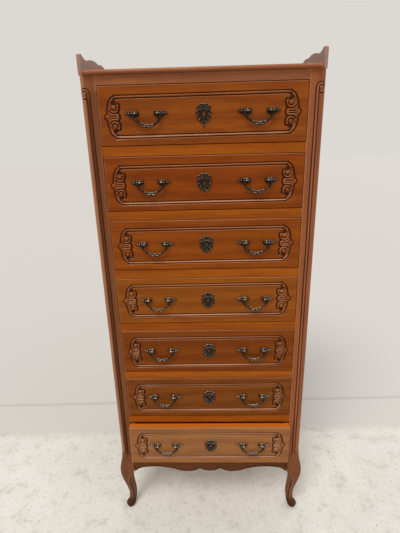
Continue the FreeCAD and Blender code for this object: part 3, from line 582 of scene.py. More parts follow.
def front_carving(x, z, number):
    """Bead in two grooves round the front, and scrollwork at both ends."""
    left, right, raised = HAND_CUT[number]
    ends = unit((np.abs(x) - 120) / 60)
    across = np.abs(x) - np.where(x < 0, left, right) * ends * ends * (3 - 2 * ends)
    level = z - raised - 1.0 * x / 210
    up = np.abs(level)
    depth = sizes().groove_depth / MM
    rise = sizes().scroll_rise / MM
    work = Carving(across, up)
    for line, half, high in ((ARM, 2.6, 0.5), (ARM[4:], 3.4, 0.75 * rise), (RING, 2.9, rise),
                             (COLLAR, 2.0, 0.8 * rise)):
        work.ridge(smooth_run(line), half, high)
    work.disc((208.0, 20.8), 5.4, 0.9 * rise)
    work.disc((225.6, 0.0), 5.0, 0.8 * rise)
    run = unit((200 - across) / 14)
    for line, half, share in ((BAND_OUT, 2.2 - 0.5 * run, 1), (BAND_IN, 2.1 - 0.4 * run, 1),
                              (COLUMN_EDGE, 2.7, 1), (EYE_LINE, 1.25, 0.85), (LOW_LINE, 1.3, 0.85)):
        work.groove(smooth_run(line), half, share * depth)
    work.groove(COLUMN_FOOT, 4.6, 1.2 * depth)
    middle = Carving(across, level)
    middle.ridge([(199.6, 5.2), (199.6, -5.2)], 4.2, 0.9 * rise)
    for bar in (5.0, 0.4, -4.6):
        middle.ridge([(201, bar), (216, bar)], 2.2, 0.6 * rise)
    for slot in (2.7, -2.1):
        middle.groove([(203, slot), (216, slot)], 1.25, 0.9 * depth)
    middle.groove(smooth_run(LOBE_EDGE), 2.6, depth)
    middle.groove(smooth_run(BUD), 1.9, depth)
    middle.groove(LOW_COLUMN_FOOT, 4.6, 1.4 * depth)
    for name in ("rise", "cut", "shade", "crest"):
        setattr(work, name, np.maximum(getattr(work, name), getattr(middle, name)))
    near = np.minimum(away(across, up, smooth_run(ARM[4:])), away(across, up, smooth_run(RING)))
    # Painted shadow on the faces beside the scrolls' arm and ring that turn away from the light.
    work.dull = 0.42 * unit(1.9 - near / 5.0) * unit((across - 196) / 8)
    work.x = x          # its marks go by slopes over the whole face, not over the folded drawing
    work.z = z
    return work


def front_mesh(number):
    """Carved front of one drawer, with the rest of its board behind it."""
    node = drawer(number, "_front")
    low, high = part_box(node)
    half = (high.x - low.x) / 2 / MM
    tall = (high.z - low.z) / 2 / MM
    face = high.y - FRONT_THICKNESS * MM
    middle = (high.z + low.z) / 2
    xs = steps_between((-half, 0.5), (3 - half, 1.6), (13 - half, 0.8), (-188.0, 6.0), (188.0, 0.8),
                       (half - 13, 1.6), (half - 3, 0.5), (half, 1))
    zs = steps_between((-tall, 0.5), (3 - tall, 2.2), (-53.5, 0.7), (-40.0, 0.85), (40.0, 0.7), (53.5, 2.2),
                       (tall - 3, 0.5), (tall, 1))
    x, z = np.meshgrid(xs, zs)
    work = front_carving(x, z, number)
    ease = sizes().edge_round / MM
    rim = np.minimum(half - np.abs(x), tall - np.abs(z))
    short = np.clip(ease - rim, 0, ease)
    roll = ease - np.sqrt(np.clip(ease ** 2 - short ** 2, 0, None))
    places = np.stack([x * MM, face - (work.height() - roll) * MM, middle + z * MM], 2)
    # The lower bead gets a strong painted highlight, as it faces up to the light.
    low_bead = unit((-25 - z) / 12)
    marks = work.marks(0.08 + 0.85 * low_bead)
    # Painted highlight along the top and left edges of the front.
    bright_rim = np.minimum(np.where(z > 0, tall - z, 99.0), np.where(x < 0, half + x, 99.0))
    marks["crest"] = np.maximum(marks["crest"], unit(1.25 - bright_rim / 1.9) * 0.55)
    marks["inside"] = np.zeros_like(x)
    bm = bmesh.new()
    patch(bm, places, marks)
    back_off(bm, face + SLAB)
    rest = bmesh.new()
    rest.from_mesh(NODES[node].data)
    bmesh.ops.remove_doubles(rest, verts=rest.verts[:], dist=1e-6)
    whole = rest.verts[:] + rest.edges[:] + rest.faces[:]
    bmesh.ops.bisect_plane(rest, geom=whole, plane_co=(0, face + SLAB, 0), plane_no=(0, -1, 0),
                           clear_outer=True)
    bmesh.ops.holes_fill(rest, edges=open_edges(rest), sides=0)
    layer = mark_layer(rest, "inside")
    for vert in rest.verts:
        vert[layer] = 1.0
    add_to(bm, rest)
    return to_mesh("carved_front_" + str(number), bm)


# Brightness, golden share and painted sheen of each front's wood; drawer 7's brightness and sheen are painted
# light, where it stands out into the light and reflects the floor.
FRONT_TONES = {1: (0.88, 0.95, 0.003), 2: (0.85, 0.86, 0.0), 3: (0.92, 0.93, 0.0), 4: (0.95, 1.1, 0.002),
               5: (0.72, 0.95, 0.0), 6: (0.68, 1.1, 0.002), 7: (1.0, 1.35, 0.033)}


class CHEST_OT_fronts(bpy.types.Operator):
    """Make the seven carved drawer fronts"""
    bl_idname = "chest.fronts"
    bl_label = "Drawer fronts"

    def execute(self, context):
        for number in DRAWERS:
            wood = show_wood("front_wood_" + str(number), ALONG_X, number * 3.1, *FRONT_TONES[number])
            place_piece("carved_front_" + str(number), front_mesh(number), drawer(number), wood, "show_wood",
                        drawer(number, "_front"))
        return {"FINISHED"}


# ---- handles ----
WOOD = 9.5                  # how far the pivot stands off the wood
ARM_LINE = [(33.6, 0.4), (33.8, -4.2), (31.8, -9.2), (27.8, -14.8), (22.4, -19.6), (16.2, -23.0),
            (10.6, -24.8), (6.4, -25.2), (3.0, -25.8), (0, -27.0)]
ARM_THICKNESS = [2.35, 2.3, 2.15, 2.0, 1.9, 1.9, 2.0, 2.1, 2.1, 2.1]
ARM_PLAIN = 1.7             # thickness in that list at which the arm has the sidebar's radius
ASKEW = math.radians(7)
SKEW_FROM = 4.0             # the crooked handle is straight for this far below its pivot
SKEW_REACH = 12.0           # and wholly askew after this much more


def rubbed(bm, wood_y, plate=0.0):
    """Marks where a casting is pale: rubbed where it stands out, and a painted highlight on its upper faces.
    """
    layer = mark_layer(bm, "rub_and_highlight")
    bm.normal_update()
    for vert in bm.verts:
        stand = (wood_y - vert.co.y) / MM
        near_plate = abs(vert.co.x) < plate
        facing = max(vert.normal.z, 0.0) * (0.75 if near_plate else 0.62) - 0.25 * max(vert.normal.y, 0.0)
        # The strongest glint is where a face looks forward and 30 degrees up.
        facing += 0.0 if near_plate else 0.24 * max(0.5 * vert.normal.z - 0.866 * vert.normal.y, 0.0) ** 8
        vert[layer] = min(1.0, max(0.0, facing + (0.14 * stand - 0.12 if near_plate else 0.012 * stand)))


def handle_mesh(skew=0.0):
    """Drop handle about its pivot: swept arms, a bow with two small scrolls, and a leaf below it.

    Skew tilts the bow and leaves the pins level."""
    bm = bmesh.new()
    line = np.array(at_depth(smooth_run(ARM_LINE, 5), 0.0))
    girth = smooth_run(list(enumerate(ARM_THICKNESS)), 5)[:, 1]
    girth = girth * sizes().arm_radius / MM / ARM_PLAIN
    for side in (-1, 1):
        tube(bm, line * np.array([side, 1, 1]), girth, 12, 0.95)
        lathe(bm, [(-2.6, 0), (-2.3, 1.8), (-1.0, 3.1), (0.8, 3.15), (2.2, 2.2), (2.7, 0)],
              (side * 33.9, 0, 0), (1, 0, 0), 14)
        lathe(bm, [(0, 0), (0, 1.45), (9.8, 1.45), (9.8, 0)], (side * 24.0, 0, 0), (side, 0, 0), 10)
        curl = spiral((side * 7.6, -24.4), 3.8, 0.7, 90 - side * 60, side * -1.1, 18)
        tube(bm, at_depth(curl, -1.4), np.linspace(1.6, 1.0, 18), 8)
        leaf = smooth_run([(side * 0.6, -28.0), (side * 5.0, -30.0), (side * 10.6, -29.2),
                           (side * 16.0, -25.6)])
        tube(bm, at_depth(leaf, -0.7), swell(leaf, [0, 0.4, 1], [1.8, 2.5, 0.6]), 10)
        bud = smooth_run([(side * 16.6, -23.0), (side * 19.8, -18.0), (side * 20.8, -14.6)])
        tube(bm, at_depth(bud, -1.4), swell(bud, [0, 0.5, 1], [1.6, 1.5, 0.5]), 8)
    drop = smooth_run([(0, -23.4), (0, -26.6), (0, -29.6), (0, -32.6)])
    tube(bm, at_depth(drop, -0.9), swell(drop, [0, 0.35, 0.7, 1], [1.4, 3.2, 2.4, 0.4]), 10, 0.7)
    for vert in bm.verts:
        share = min(max((-vert.co.z / MM - SKEW_FROM) / SKEW_REACH, 0), 1)
        vert.co.z -= math.tan(skew) * vert.co.x * share
    bmesh.ops.recalc_face_normals(bm, faces=bm.faces[:])
    rubbed(bm, WOOD * MM)
    return to_mesh("drop_handle", bm, 50.0)


LEAF_TOP = [(0, 1.0), (0.08, 4.4), (0.2, 7.0), (0.38, 7.0), (0.55, 5.6), (0.72, 4.2), (0.88, 3.0), (1, 1.8)]
LEAF_LOW = [(0, -2.6), (0.1, -5.4), (0.24, -8.0), (0.4, -10.0), (0.52, -9.0), (0.66, -5.8), (0.82, -2.4),
            (1, 0.4)]
LEAF_START = 17.5
LEAF_REACH = 35.5
LEAF_BODY = [(0, 1.6), (0.1, 5.4), (0.27, 5.8), (0.34, 3.2), (0.56, 3.2), (0.64, 5.2), (0.82, 3.6), (1, 0.9)]
FRONDS = (((41.0, 6.4), 1.9), ((47.0, 4.2), 1.6), ((33.6, 7.8), 2.1))      # tip, and thickness


def leaf_mount(bm, side, place):
    """Acanthus mount against the wood, with the barrel that carries the handle's pin."""
    u = np.linspace(0, 1, 40)[:, None]
    v = np.linspace(-1, 1, 21)[None, :]
    lobes = 1.1 * np.abs(np.sin(u * math.pi * 5.0)) * (1 - u * 0.5)
    top = height_of(LEAF_TOP, u) + lobes - 0.6
    low = height_of(LEAF_LOW, u) - lobes + 0.6
    z = low + (top - low) * ((v + 1) / 2)
    x = LEAF_START + LEAF_REACH * u + 0 * v
    crown = (1 - v ** 2) ** 0.6
    veins = 0.85 * np.cos((x - np.abs(v) * 5.0) * 0.95) * crown
    spine = 1.1 * np.exp(-(v / 0.2) ** 2)
    stand = 0.9 + height_of(LEAF_BODY, u) * crown + veins + spine * crown
    places = np.stack([side * x, WOOD - stand, z], 2) * MM
    shell = bmesh.new()
    patch(shell, places)
    back_off(shell, WOOD * MM)
    lathe(shell, [(-4.0, 0), (-3.8, 2.2), (-3.0, 3.0), (-1.6, 3.2), (0, 2.9), (1.6, 3.2), (3.0, 3.0),
                  (3.8, 2.2), (4.0, 0)], (side * 27.4, 0, 0), (1, 0, 0), 18)
    lathe(shell, [(0, 4.0), (3.0, 3.4), (6.6, 2.6), (8.6, 1.6)], (side * 27.4, WOOD - 0.4, 0.6), (0, -1, 0),
          12)
    curl = spiral((side * 22.6, 4.0), 4.4, 0.8, 90 + side * 80, side * 1.25, 20)
    tube(shell, at_depth(curl, WOOD - 5.0), np.linspace(2.0, 1.2, 20), 8)
    for (tip, high), girth in FRONDS:
        frond = smooth_run([(side * (tip - 7.0), 1.0), (side * (tip - 2.6), 4.4), (side * tip, high)])
        tube(shell, at_depth(frond, WOOD - 3.6), swell(frond, [0, 0.6, 1], [0.8, girth, 0.6]), 8)
    bmesh.ops.recalc_face_normals(shell, faces=shell.faces[:])
    add_to(bm, shell, place)


# How far each keyhole plate was screwed on to the right of the middle.
KEYHOLE_OFFSET = {1: 3.0, 2: 1.0, 3: 3.0, 4: 4.5, 5: 5.0, 6: 3.0, 7: 4.5}
PLATE_REACH = 0.024         # the keyhole plate's metal lies this near the middle, in metres
KEYHOLE_SCROLLS = (
    ([(0.6, 21.4), (4.2, 23.6), (8.2, 22.2), (9.4, 18.4), (7.0, 16.0), (4.4, 17.4), (5.0, 19.6)], 1.5),
    ([(9.6, 19.4), (13.6, 18.0), (15.8, 13.8), (14.6, 9.8), (11.2, 9.8), (10.2, 12.6), (12.2, 13.6)], 1.5),
    ([(14.8, 9.4), (17.0, 4.6), (16.4, -0.6), (13.2, -2.6), (11.0, 0.2), (12.6, 2.8)], 1.5),
    ([(14.8, -3.0), (15.0, -8.2), (11.8, -12.0), (8.2, -11.0), (8.4, -7.8), (10.6, -7.4)], 1.5),
    ([(10.6, -12.4), (8.8, -17.0), (4.8, -19.4), (2.2, -17.4), (3.6, -15.0)], 1.4),
    ([(0.4, 13.4), (3.6, 11.6), (7.4, 6.0), (8.8, 0.6), (6.6, -4.6), (3.4, -9.6), (0.2, -12.4)], 1.3),
    ([(7.8, 13.2), (8.6, 9.6), (6.0, 9.4)], 1.2),
)


def keyhole_plate(bm, place, pendant):
    """Keyhole plate of paired scrolls round a small dark opening."""
    shell = bmesh.new()
    for side in (-1, 1):
        for run, girth in KEYHOLE_SCROLLS:
            line = smooth_run(run, 5)
            share = np.linspace(0, 1, len(line))
            tube(shell, [(side * x, -1.9 + 0.4 * s, z) for (x, z), s in zip(line, share)],
                 girth * np.interp(share, [0, 0.15, 0.8, 1], [0.55, 1, 0.95, 0.75]), 8)
    low = -26.5 if pendant else -22.0
    for heights, girths in (((24.4, 22.6, 19.6, 16.6, 14.0), (0.4, 1.6, 2.4, 1.9, 0.6)),
                            ((-12.5, -15.5, -18.6, low + 2.5, low), (0.8, 1.8, 2.2, 1.8, 0.5))):
        tube(shell, [(0, -1.8, z) for z in heights], girths, 8, 0.6)
    if pendant:
        lathe(shell, [(-1.6, 0), (-1.2, 2.4), (0, 3.1), (1.0, 2.4), (1.4, 0)], (0, -1.6, low), (0, -1, 0), 12)
    angles = np.linspace(0, 2 * math.pi, 48, endpoint=False)
    outer = [(15.4 * math.sin(a) * (1 - 0.1 * math.cos(4 * a)), 0,
              21.0 * math.cos(a) * (1.06 if math.cos(a) > 0 else 0.9)) for a in angles]
    inner = [(0.15 * x, 0, 0.2 * z) for x, _, z in outer]
    if pendant:         # its opening is a diamond
        spans = [abs(math.sin(a)) + abs(math.cos(a)) for a in angles]
        inner = [(4.4 * math.sin(a) / span, 0, 6.2 * math.cos(a) / span) for a, span in zip(angles, spans)]
    rings = np.array([inner, inner, outer, outer, inner], float)
    rings[1, :, 1] = -0.9
    rings[2, :, 1] = -0.7
    sleeve(shell, rings * MM)
    bmesh.ops.recalc_face_normals(shell, faces=shell.faces[:])
    add_to(bm, shell, place)


class CHEST_OT_handles(bpy.types.Operator):
    """Make the drop handles, each turning on its own pivot"""
    bl_idname = "chest.handles"
    bl_label = "Drop handles"

    def execute(self, context):
        master = handle_mesh()
        crooked = handle_mesh(ASKEW)
        metal = finish_called("antiqued_bronze", bronze)
        for number in DRAWERS:
            for label, side in SIDES:
                mesh = (crooked if (number, label) == (1, "left") else master).copy()
                mesh.transform(Matrix.Translation(hinge_place(number, label)))
                tail = str(number) + "_" + label
                place_piece("drop_handle_" + tail, mesh, "bail_" + tail, metal, "antique_brass",
                            drawer(number, "_bail_" + label))
        bpy.data.meshes.remove(master)
        bpy.data.meshes.remove(crooked)
        return {"FINISHED"}


class CHEST_OT_mounts(bpy.types.Operator):
    """Make the leaf mounts and keyhole plates"""
    bl_idname = "chest.mounts"
    bl_label = "Mounts and keyhole plates"

    def execute(self, context):
        metal = finish_called("antiqued_bronze", bronze)
        for number in DRAWERS:
            low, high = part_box(drawer(number, "_front"))
            face = high.y - FRONT_THICKNESS * MM
            bm = bmesh.new()
            for label, _ in SIDES:
                for side in (-1, 1):
                    leaf_mount(bm, side, hinge_place(number, label))
            keyhole_plate(bm, Vector((KEYHOLE_OFFSET[number] * MM, face, (low.z + high.z) / 2)), number == 1)
            rubbed(bm, face, PLATE_REACH)
            mesh = to_mesh("mounts", bm, 50.0)
            place_piece("mounts_" + str(number), mesh, drawer(number), metal, "antique_brass",
                        drawer(number, "_fittings"))
        return {"FINISHED"}


# ---- posts ----
POST_ROUND = 19.0
POST_SIZE = 39.5
ROUNDEL = (30.3, -41.5)     # along the post's face from its inner edge, and up from the post's top
BEAD_LINE = 20.6            # along the face from the inner edge
BEAD_GROOVES = (16.6, 24.6)


def post_plan(s):
    """Plan of a front post, unrolled: place and outward direction at each distance s."""
    flat = POST_SIZE - POST_ROUND
    bend = POST_ROUND * math.pi / 2
    turn = np.clip((s - flat) / POST_ROUND, 0, math.pi / 2)
    x = np.minimum(s, flat) + POST_ROUND * np.sin(turn)
    y = POST_ROUND * (1 - np.cos(turn)) + np.clip(s - flat - bend, 0, None)
    return x, y, np.sin(turn), -np.cos(turn)


def post_mesh(shift, dull=0.0):
    """Right-hand post: a bead between two grooves that loops round a roundel near the top.

    With painted shading, a post has painted shade inside its outer groove and along its bead, and a painted
    highlight on its side outside the groove."""
    bottom = APRON_TOP / MM - 4
    top = POST_TOP / MM
    eye = top + ROUNDEL[1]
    length = 2 * (POST_SIZE - POST_ROUND) + POST_ROUND * math.pi / 2
    ss = steps_between((0, 0.5), (2, 1.6), (13, 0.6), (46, 3.0), (length, 1))
    zs = steps_between((bottom, 12.0), (eye - 26, 0.8), (eye + 16, 3.0), (top, 1))
    s, z = np.meshgrid(ss, zs)
    work = Carving(s - shift, z)
    depth = sizes().post_groove / MM
    centre = (ROUNDEL[0], eye)
    low = bottom - 9
    around = spiral(centre, 9.4, 8.0, 190, -0.8, 50)
    work.ridge(np.vstack([[(BEAD_LINE, low), (BEAD_LINE, eye - 8)], around]), 2.6, 1.3)
    work.disc(centre, 5.4, 1.8)
    loop = spiral(centre, 13.4, 10.8, 180, -0.86, 60)
    work.groove(np.vstack([[(BEAD_GROOVES[0], low), (ROUNDEL[0] - 13.4, eye - 6)], loop]), 1.9, depth)
    work.groove([(BEAD_GROOVES[1], low), (BEAD_GROOVES[1] - 0.4, eye - 10.6)], 1.9, depth)
    work.groove(spiral(centre, 7.0, 6.2, 230, -0.8, 40), 1.5, 0.8 * depth)
    x, y, out_x, out_y = post_plan(s)
    ease = unit(1.0 - s) ** 2 * 0.8
    height = work.height() - ease
    x = POST_INNER / MM + x + out_x * height
    y = FRONT_PLANE / MM + y + out_y * height
    work.x = s
    marks = work.marks(0.25)
    # Pale along the post's inner edge: wear and painted highlight.
    marks["crest"] = np.maximum(marks["crest"] * 0.8, unit(1.2 - s / 1.6) * 0.7)
    inner = unit((27.5 - s) / 1.5) * unit((eye + 12 - z) / 10)
    bead = hump(s - shift - BEAD_LINE, 4.5) * unit((eye - 10 - z) / 6)
    marks["patina"] = np.maximum(marks["patina"], dull * (0.32 * inner + 0.5 * bead))
    lit_side = unit((s - 27.5) / 2) * (s < 48) * (1 - marks["patina"])
    marks["crest"] = marks["crest"] * (1 - dull * inner * 0.6) + dull * 0.42 * lit_side
    corner = np.column_stack([np.full(len(zs), POST_INNER / MM),
                              np.full(len(zs), FRONT_PLANE / MM + POST_SIZE), zs])
    rings = np.concatenate([np.stack([x, y, z], 2), corner[:, None]], axis=1)
    marks = {name: np.pad(value, ((0, 0), (0, 1))) for name, value in marks.items()}
    bm = bmesh.new()
    sleeve(bm, rings * MM, marks)
    return to_mesh("carved_post", bm, 32.0)


class CHEST_OT_posts(bpy.types.Operator):
    """Make the two front posts with their bead and roundel"""
    bl_idname = "chest.posts"
    bl_label = "Front posts"

    def execute(self, context):
        wood = show_wood("post_wood", ALONG_Z, 5.3, 0.95, 1.0, 0.026)
        place_piece("carved_post_right", post_mesh(-1.5), "case", wood, "show_wood", "front_post_right")
        # The left post has painted shading and a darker copy of the post's finish, standing in for shade.
        left = mirror_mesh(post_mesh(-1.0, 1.0), "carved_post_left")
        shade = show_wood("post_wood_left", ALONG_Z, 4.1, 0.85, 1.1, 0.024)
        place_piece("carved_post_left", left, "case", shade, "show_wood", "front_post_left")
        return {"FINISHED"}


# ---- cabriole legs ----
# Height, swell outside the post, and thickness.
LEG_LINE = [(226.0, 1.3, 40.8), (212.0, 2.5, 42.0), (193.3, 6.5, 46.0), (182.0, 8.6, 48.0),
            (170.5, 9.3, 48.6), (159.6, 9.1, 44.8), (149.3, 8.0, 40.2), (128.8, 4.4, 33.2),
            (105.1, -0.8, 29.0), (82.3, -5.5, 26.3), (62.5, -8.7, 24.3), (47.7, -9.5, 23.5),
            (28.7, -8.3, 22.7), (10.9, -6.0, 22.3), (4.0, -5.4, 20.5)]
# Height, and how far the inner front edge stands outside the inner face there.
EDGE_LINE = [(0.0, 3.0), (20.0, 5.0), (60.0, 7.5), (100.0, 8.0), (135.0, 6.5), (160.0, 2.5), (175.0, 0.0)]
# Share of the way up the cap, growth of its plan, and how dark it is there.
CAP_STEPS = ((0.35, -0.5, 0), (0.6, -0.9, 0), (0.74, -1.1, 0), (0.8, -1.9, 1), (0.86, -1.9, 1),
             (0.9, -0.7, 0), (0.97, -0.9, 0), (1.0, -1.6, 0.7), (1.0, -3.5, 1))


def leg_ring(swell, thick, corner, slant=0.0):
    """Plan of the leg, from its inner front edge round by the outside; slant turns the inner face."""
    outer = POST_OUTER / MM + swell
    inner = outer - thick
    front = FRONT_PLANE / MM - swell
    back = front + thick
    inward = min(2.2, thick * 0.12)
    corners = ((inner + inward, front + inward, inward, math.pi),
               (outer - corner, front + corner, corner, 1.5 * math.pi),
               (outer - 4.0, back - 4.0, 4.0, 0.0), (inner + 4.0, back - 4.0, 4.0, 0.5 * math.pi))
    arcs = []
    for x, y, radius, start in corners:
        turn = start + np.arange(9) / 8 * math.pi / 2
        arcs.append(np.column_stack([x + radius * np.cos(turn), y + radius * np.sin(turn)]))
    arcs[0][:, 0] += slant
    share = np.arange(1, 12)[:, None] / 12
    ring = []
    for arc, after in zip(arcs, arcs[1:] + arcs[:1]):
        ring += [arc, arc[-1] + (after[0] - arc[-1]) * share]
    return np.vstack(ring)


def cap_height(x, y):
    """Top of the leg's cap: highest at the outer front corner, falling away both ways."""
    along = unit((POST_OUTER / MM - x) / POST_SIZE)
    behind = unit((y - FRONT_PLANE / MM) / POST_SIZE)
    return APRON_TOP / MM + 5.5 + 14.5 * (1 - np.maximum(along, behind)) ** 1.6


def leg_mesh():
    """Right-hand leg with its cap, its edge line and the rolled toe."""
    rows = []
    dark = []
    line = smooth_run(LEG_LINE)[::-1]
    for z, swell, thick in line:
        fall = (line[-1][0] - z) / (line[-1][0] - line[0][0])
        slant = float(height_of(EDGE_LINE, z))
        ring = leg_ring(swell, thick, POST_ROUND + fall * (7.5 - POST_ROUND), slant)
        rows.append(np.column_stack([ring, np.full(len(ring), z)]))
        dark.append(np.zeros(len(ring)))
    start, swell_there, thick_there = LEG_LINE[0]
    for share, grow, shade in CAP_STEPS:
        ring = leg_ring(swell_there + grow, thick_there + grow, POST_ROUND)
        high = cap_height(ring[:, 0], ring[:, 1])
        rows.append(np.column_stack([ring, start + share * (high - start)]))
        dark.append(np.full(len(ring), float(shade)))
    rings = np.array(rows)
    shade = np.array(dark)
    middle = rings[:, :, :2].mean(axis=1, keepdims=True)
    # A line is cut beside the inner front edge, and a bead runs along it on the front.
    inner_front = rings[:, 4:5, :2]
    gap = np.hypot(*(np.moveaxis(rings[:, :, :2] - inner_front, 2, 0)))
    height = rings[:, :, 2]
    on_front = np.zeros_like(gap)
    on_front[:, 4:24] = 1
    reach = unit((height - 12) / 20) * unit((178 - height) / 16)
    line_share = hump(gap - 0.6, 2.3) * reach
    bead_share = hump(gap - 4.6, 2.0) * on_front * reach
    inward = middle - rings[:, :, :2]
    inward /= np.linalg.norm(inward, axis=2, keepdims=True)
    rings[:, :, :2] += inward * (line_share * 1.3 - bead_share * 0.35)[:, :, None]
    low = unit(1 - (height - 12) / 60)
    # Darker overall, darker still towards the bottom, in the cap's steps and in the edge line, and lighter on
    # the bead.
    patina = np.maximum(shade, line_share * 1.2) + 0.3 + 0.3 * low - 0.25 * bead_share
    # A painted highlight on the bead.
    marks = {"patina": unit(patina), "crest": bead_share * 0.25 * (1 - shade)}
    bm = bmesh.new()
    sleeve(bm, rings * MM, marks)
    add_toe(bm, line[0])
    layer = mark_layer(bm, "patina")
    for vert in bm.verts:
        vert[layer] = max(vert[layer], min(max((DARK_TOE - vert.co.z / MM) / 16, 0.0), 1.0))
    return to_mesh("cabriole_leg", bm, 40.0)


TOE_PROFILE = [(-9.4, 0), (-9.9, 2.4), (-9.3, 3.8), (-8.6, 4.8), (-9.7, 6.4), (-10.0, 8.8), (-9.4, 11.0),
               (-8.0, 13.2), (-5.0, 14.6), (0, 15.0)]
TOE_HEIGHT = 14.0
DARK_TOE = 44.0             # the leg begins to darken below this height


def add_toe(bm, foot):
    """Rolled toe with a scroll on both of its ends."""
    _, swell, thick = foot
    x = POST_OUTER / MM + swell - thick / 2 + 3.0
    y = FRONT_PLANE / MM - swell + thick / 2 - 3.0
    profile = TOE_PROFILE + [(-along, radius) for along, radius in TOE_PROFILE[-2::-1]]
    toe = bmesh.new()
    lathe(toe, profile, (x, y, TOE_HEIGHT), (1, 1, 0), 32)
    wear_and_highlight = mark_layer(toe, "crest")
    axis = Vector((1, 1, 0)).normalized()
    centre = Vector((x, y, TOE_HEIGHT)) * MM
    for vert in toe.verts:
        offset = vert.co - centre
        out = (offset - axis * offset.dot(axis)).length / MM
        # Painted highlight on the upper outside of the roll.
        vert[wear_and_highlight] = 0.35 if out > 13.5 and offset.z > 0 else 0.1
        vert.co.z = max(vert.co.z, 0.0)
    bmesh.ops.recalc_face_normals(toe, faces=toe.faces[:])
    add_to(bm, toe)


class CHEST_OT_legs(bpy.types.Operator):
    """Make the two front cabriole legs"""
    bl_idname = "chest.legs"
    bl_label = "Cabriole legs"

    def execute(self, context):
        right = leg_mesh()
        wood = show_wood("leg_wood", ALONG_Z, 9.7, 0.72, 1.1, 0.026)
        place_piece("cabriole_leg_right", right, "case", wood, "show_wood", "front_leg_right")
        place_piece("cabriole_leg_left", mirror_mesh(right, "cabriole_leg_left"), "case", wood, "show_wood",
                    "front_leg_left")
        return {"FINISHED"}


# ---- apron ----
CORNER_DROP = 13.0          # how far the apron's lower edge curves down into a leg
CORNER_REACH = 38.0         # and how far in from the leg that curve begins


class CHEST_OT_apron(bpy.types.Operator):
    """Make the shaped apron with a bead along its lower edge"""
    bl_idname = "chest.apron"
    bl_label = "Apron"

    def execute(self, context):
        solid = NODES["front_apron"]
        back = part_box("front_apron")[1].y
        half = POST_INNER / MM
        xs = steps_between((-half, 1.7), (half, 1))
        lows = []
        for x in xs:
            at = min(max(x, 0.3 - half), half - 0.3) * MM
            hit, place, _, _ = solid.ray_cast(Vector((at, back - 0.006, 0)), Vector((0, 0, 1)))
            if not hit:
                raise RuntimeError("the apron has no lower edge at " + str(x))
            lows.append(place.z / MM)
        lows = np.array(lows) - CORNER_DROP * unit((abs(xs) - half) / CORNER_REACH + 1) ** 2.4
        slope = np.gradient(lows, xs)
        vs = steps_between((0, 0.6), (12, 3.0), (24, 1))
        top = APRON_TOP / MM
        share = vs / vs[-1]
        z = lows + share[:, None] * (top - lows)
        near = (z - lows) / np.sqrt(1 + slope ** 2)
        x = np.tile(xs, (len(vs), 1))
        # Distances from the lower edge, and halves of the widths.
        groove = hump(near - 5.6, 1.3)
        bead = hump(near - 2.1, 2.6)
        roll = unit(1 - near) ** 2
        y = FRONT_PLANE / MM + groove * 1.4 - bead * 0.5 + roll * 0.9
        bm = bmesh.new()
        # Patina and painted shade: darker overall, darker still along the bead at the lower edge and in the
        # groove, with a faint painted highlight on the bead.
        marks = {"patina": np.maximum(groove, 0.35 + 0.5 * bead), "crest": 0.15 * bead * (1 - groove)}
        patch(bm, np.stack([x, y, z], 2) * MM, marks)
        back_off(bm, back)
        # The apron's wood is darker than the rest, as painted shade under the open drawer.
        wood = show_wood("apron_wood", ALONG_X, 12.1, 0.6, 1.1, 0.01)
        place_piece("shaped_apron", to_mesh("shaped_apron", bm), "case", wood, "show_wood", "front_apron")
        return {"FINISHED"}


# ---- top board ----
TOP_CORNER = 0.014          # rounding of the front corners, in metres
TOP_NOSE = 0.0042           # and of the front and side edges


class CHEST_OT_top(bpy.types.Operator):
    """Make the top board with its rounded nose"""
    bl_idname = "chest.top"
    bl_label = "Top board"

    def execute(self, context):
        low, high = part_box("top_board")
        bm = bmesh.new()
        bmesh.ops.create_cube(bm, size=1.0)
        bmesh.ops.scale(bm, vec=high - low, verts=bm.verts[:])
        bmesh.ops.translate(bm, vec=(high + low) / 2, verts=bm.verts[:])
        uprights = [edge for edge in bm.edges if all(vert.co.y < low.y + 0.001 for vert in edge.verts)
                    and abs(edge.verts[0].co.z - edge.verts[1].co.z) > 0.001]
        bmesh.ops.bevel(bm, geom=uprights, offset=TOP_CORNER, segments=8, profile=0.5, affect="EDGES",
                        material=-1)
        nose = [edge for edge in bm.edges if abs(edge.verts[0].co.z - edge.verts[1].co.z) < 1e-6
                and len(edge.link_faces) == 2 and edge.calc_face_angle() > 1.2
                and max(vert.co.y for vert in edge.verts) < high.y - 0.001]
        nose += [edge for edge in bm.edges if edge not in nose and edge.calc_length() > 0.3
                 and abs(edge.verts[0].co.x - edge.verts[1].co.x) < 1e-6 and edge.calc_face_angle() > 1.2]
        bmesh.ops.bevel(bm, geom=nose, offset=TOP_NOSE, segments=6, profile=0.5, affect="EDGES", material=-1)
        # Painted highlight along the front edge of the nose.
        layer = mark_layer(bm, "crest")
        for vert in bm.verts:
            edge_near = vert.co.y < low.y + 0.004 and vert.co.z > low.z + 0.005
            vert[layer] = 0.45 if edge_near else 0.0
        wood = show_wood("top_wood", ALONG_X, 15.9, 0.95, 1.0, 0.03)
        place_piece("moulded_top", to_mesh("moulded_top", bm, 40.0), "case", wood, "show_wood", "top_board")
        return {"FINISHED"}


# ---- plain boards of the case ----
BARE_EDGE = 0.0005          # eased edge of the unfinished boards, in metres
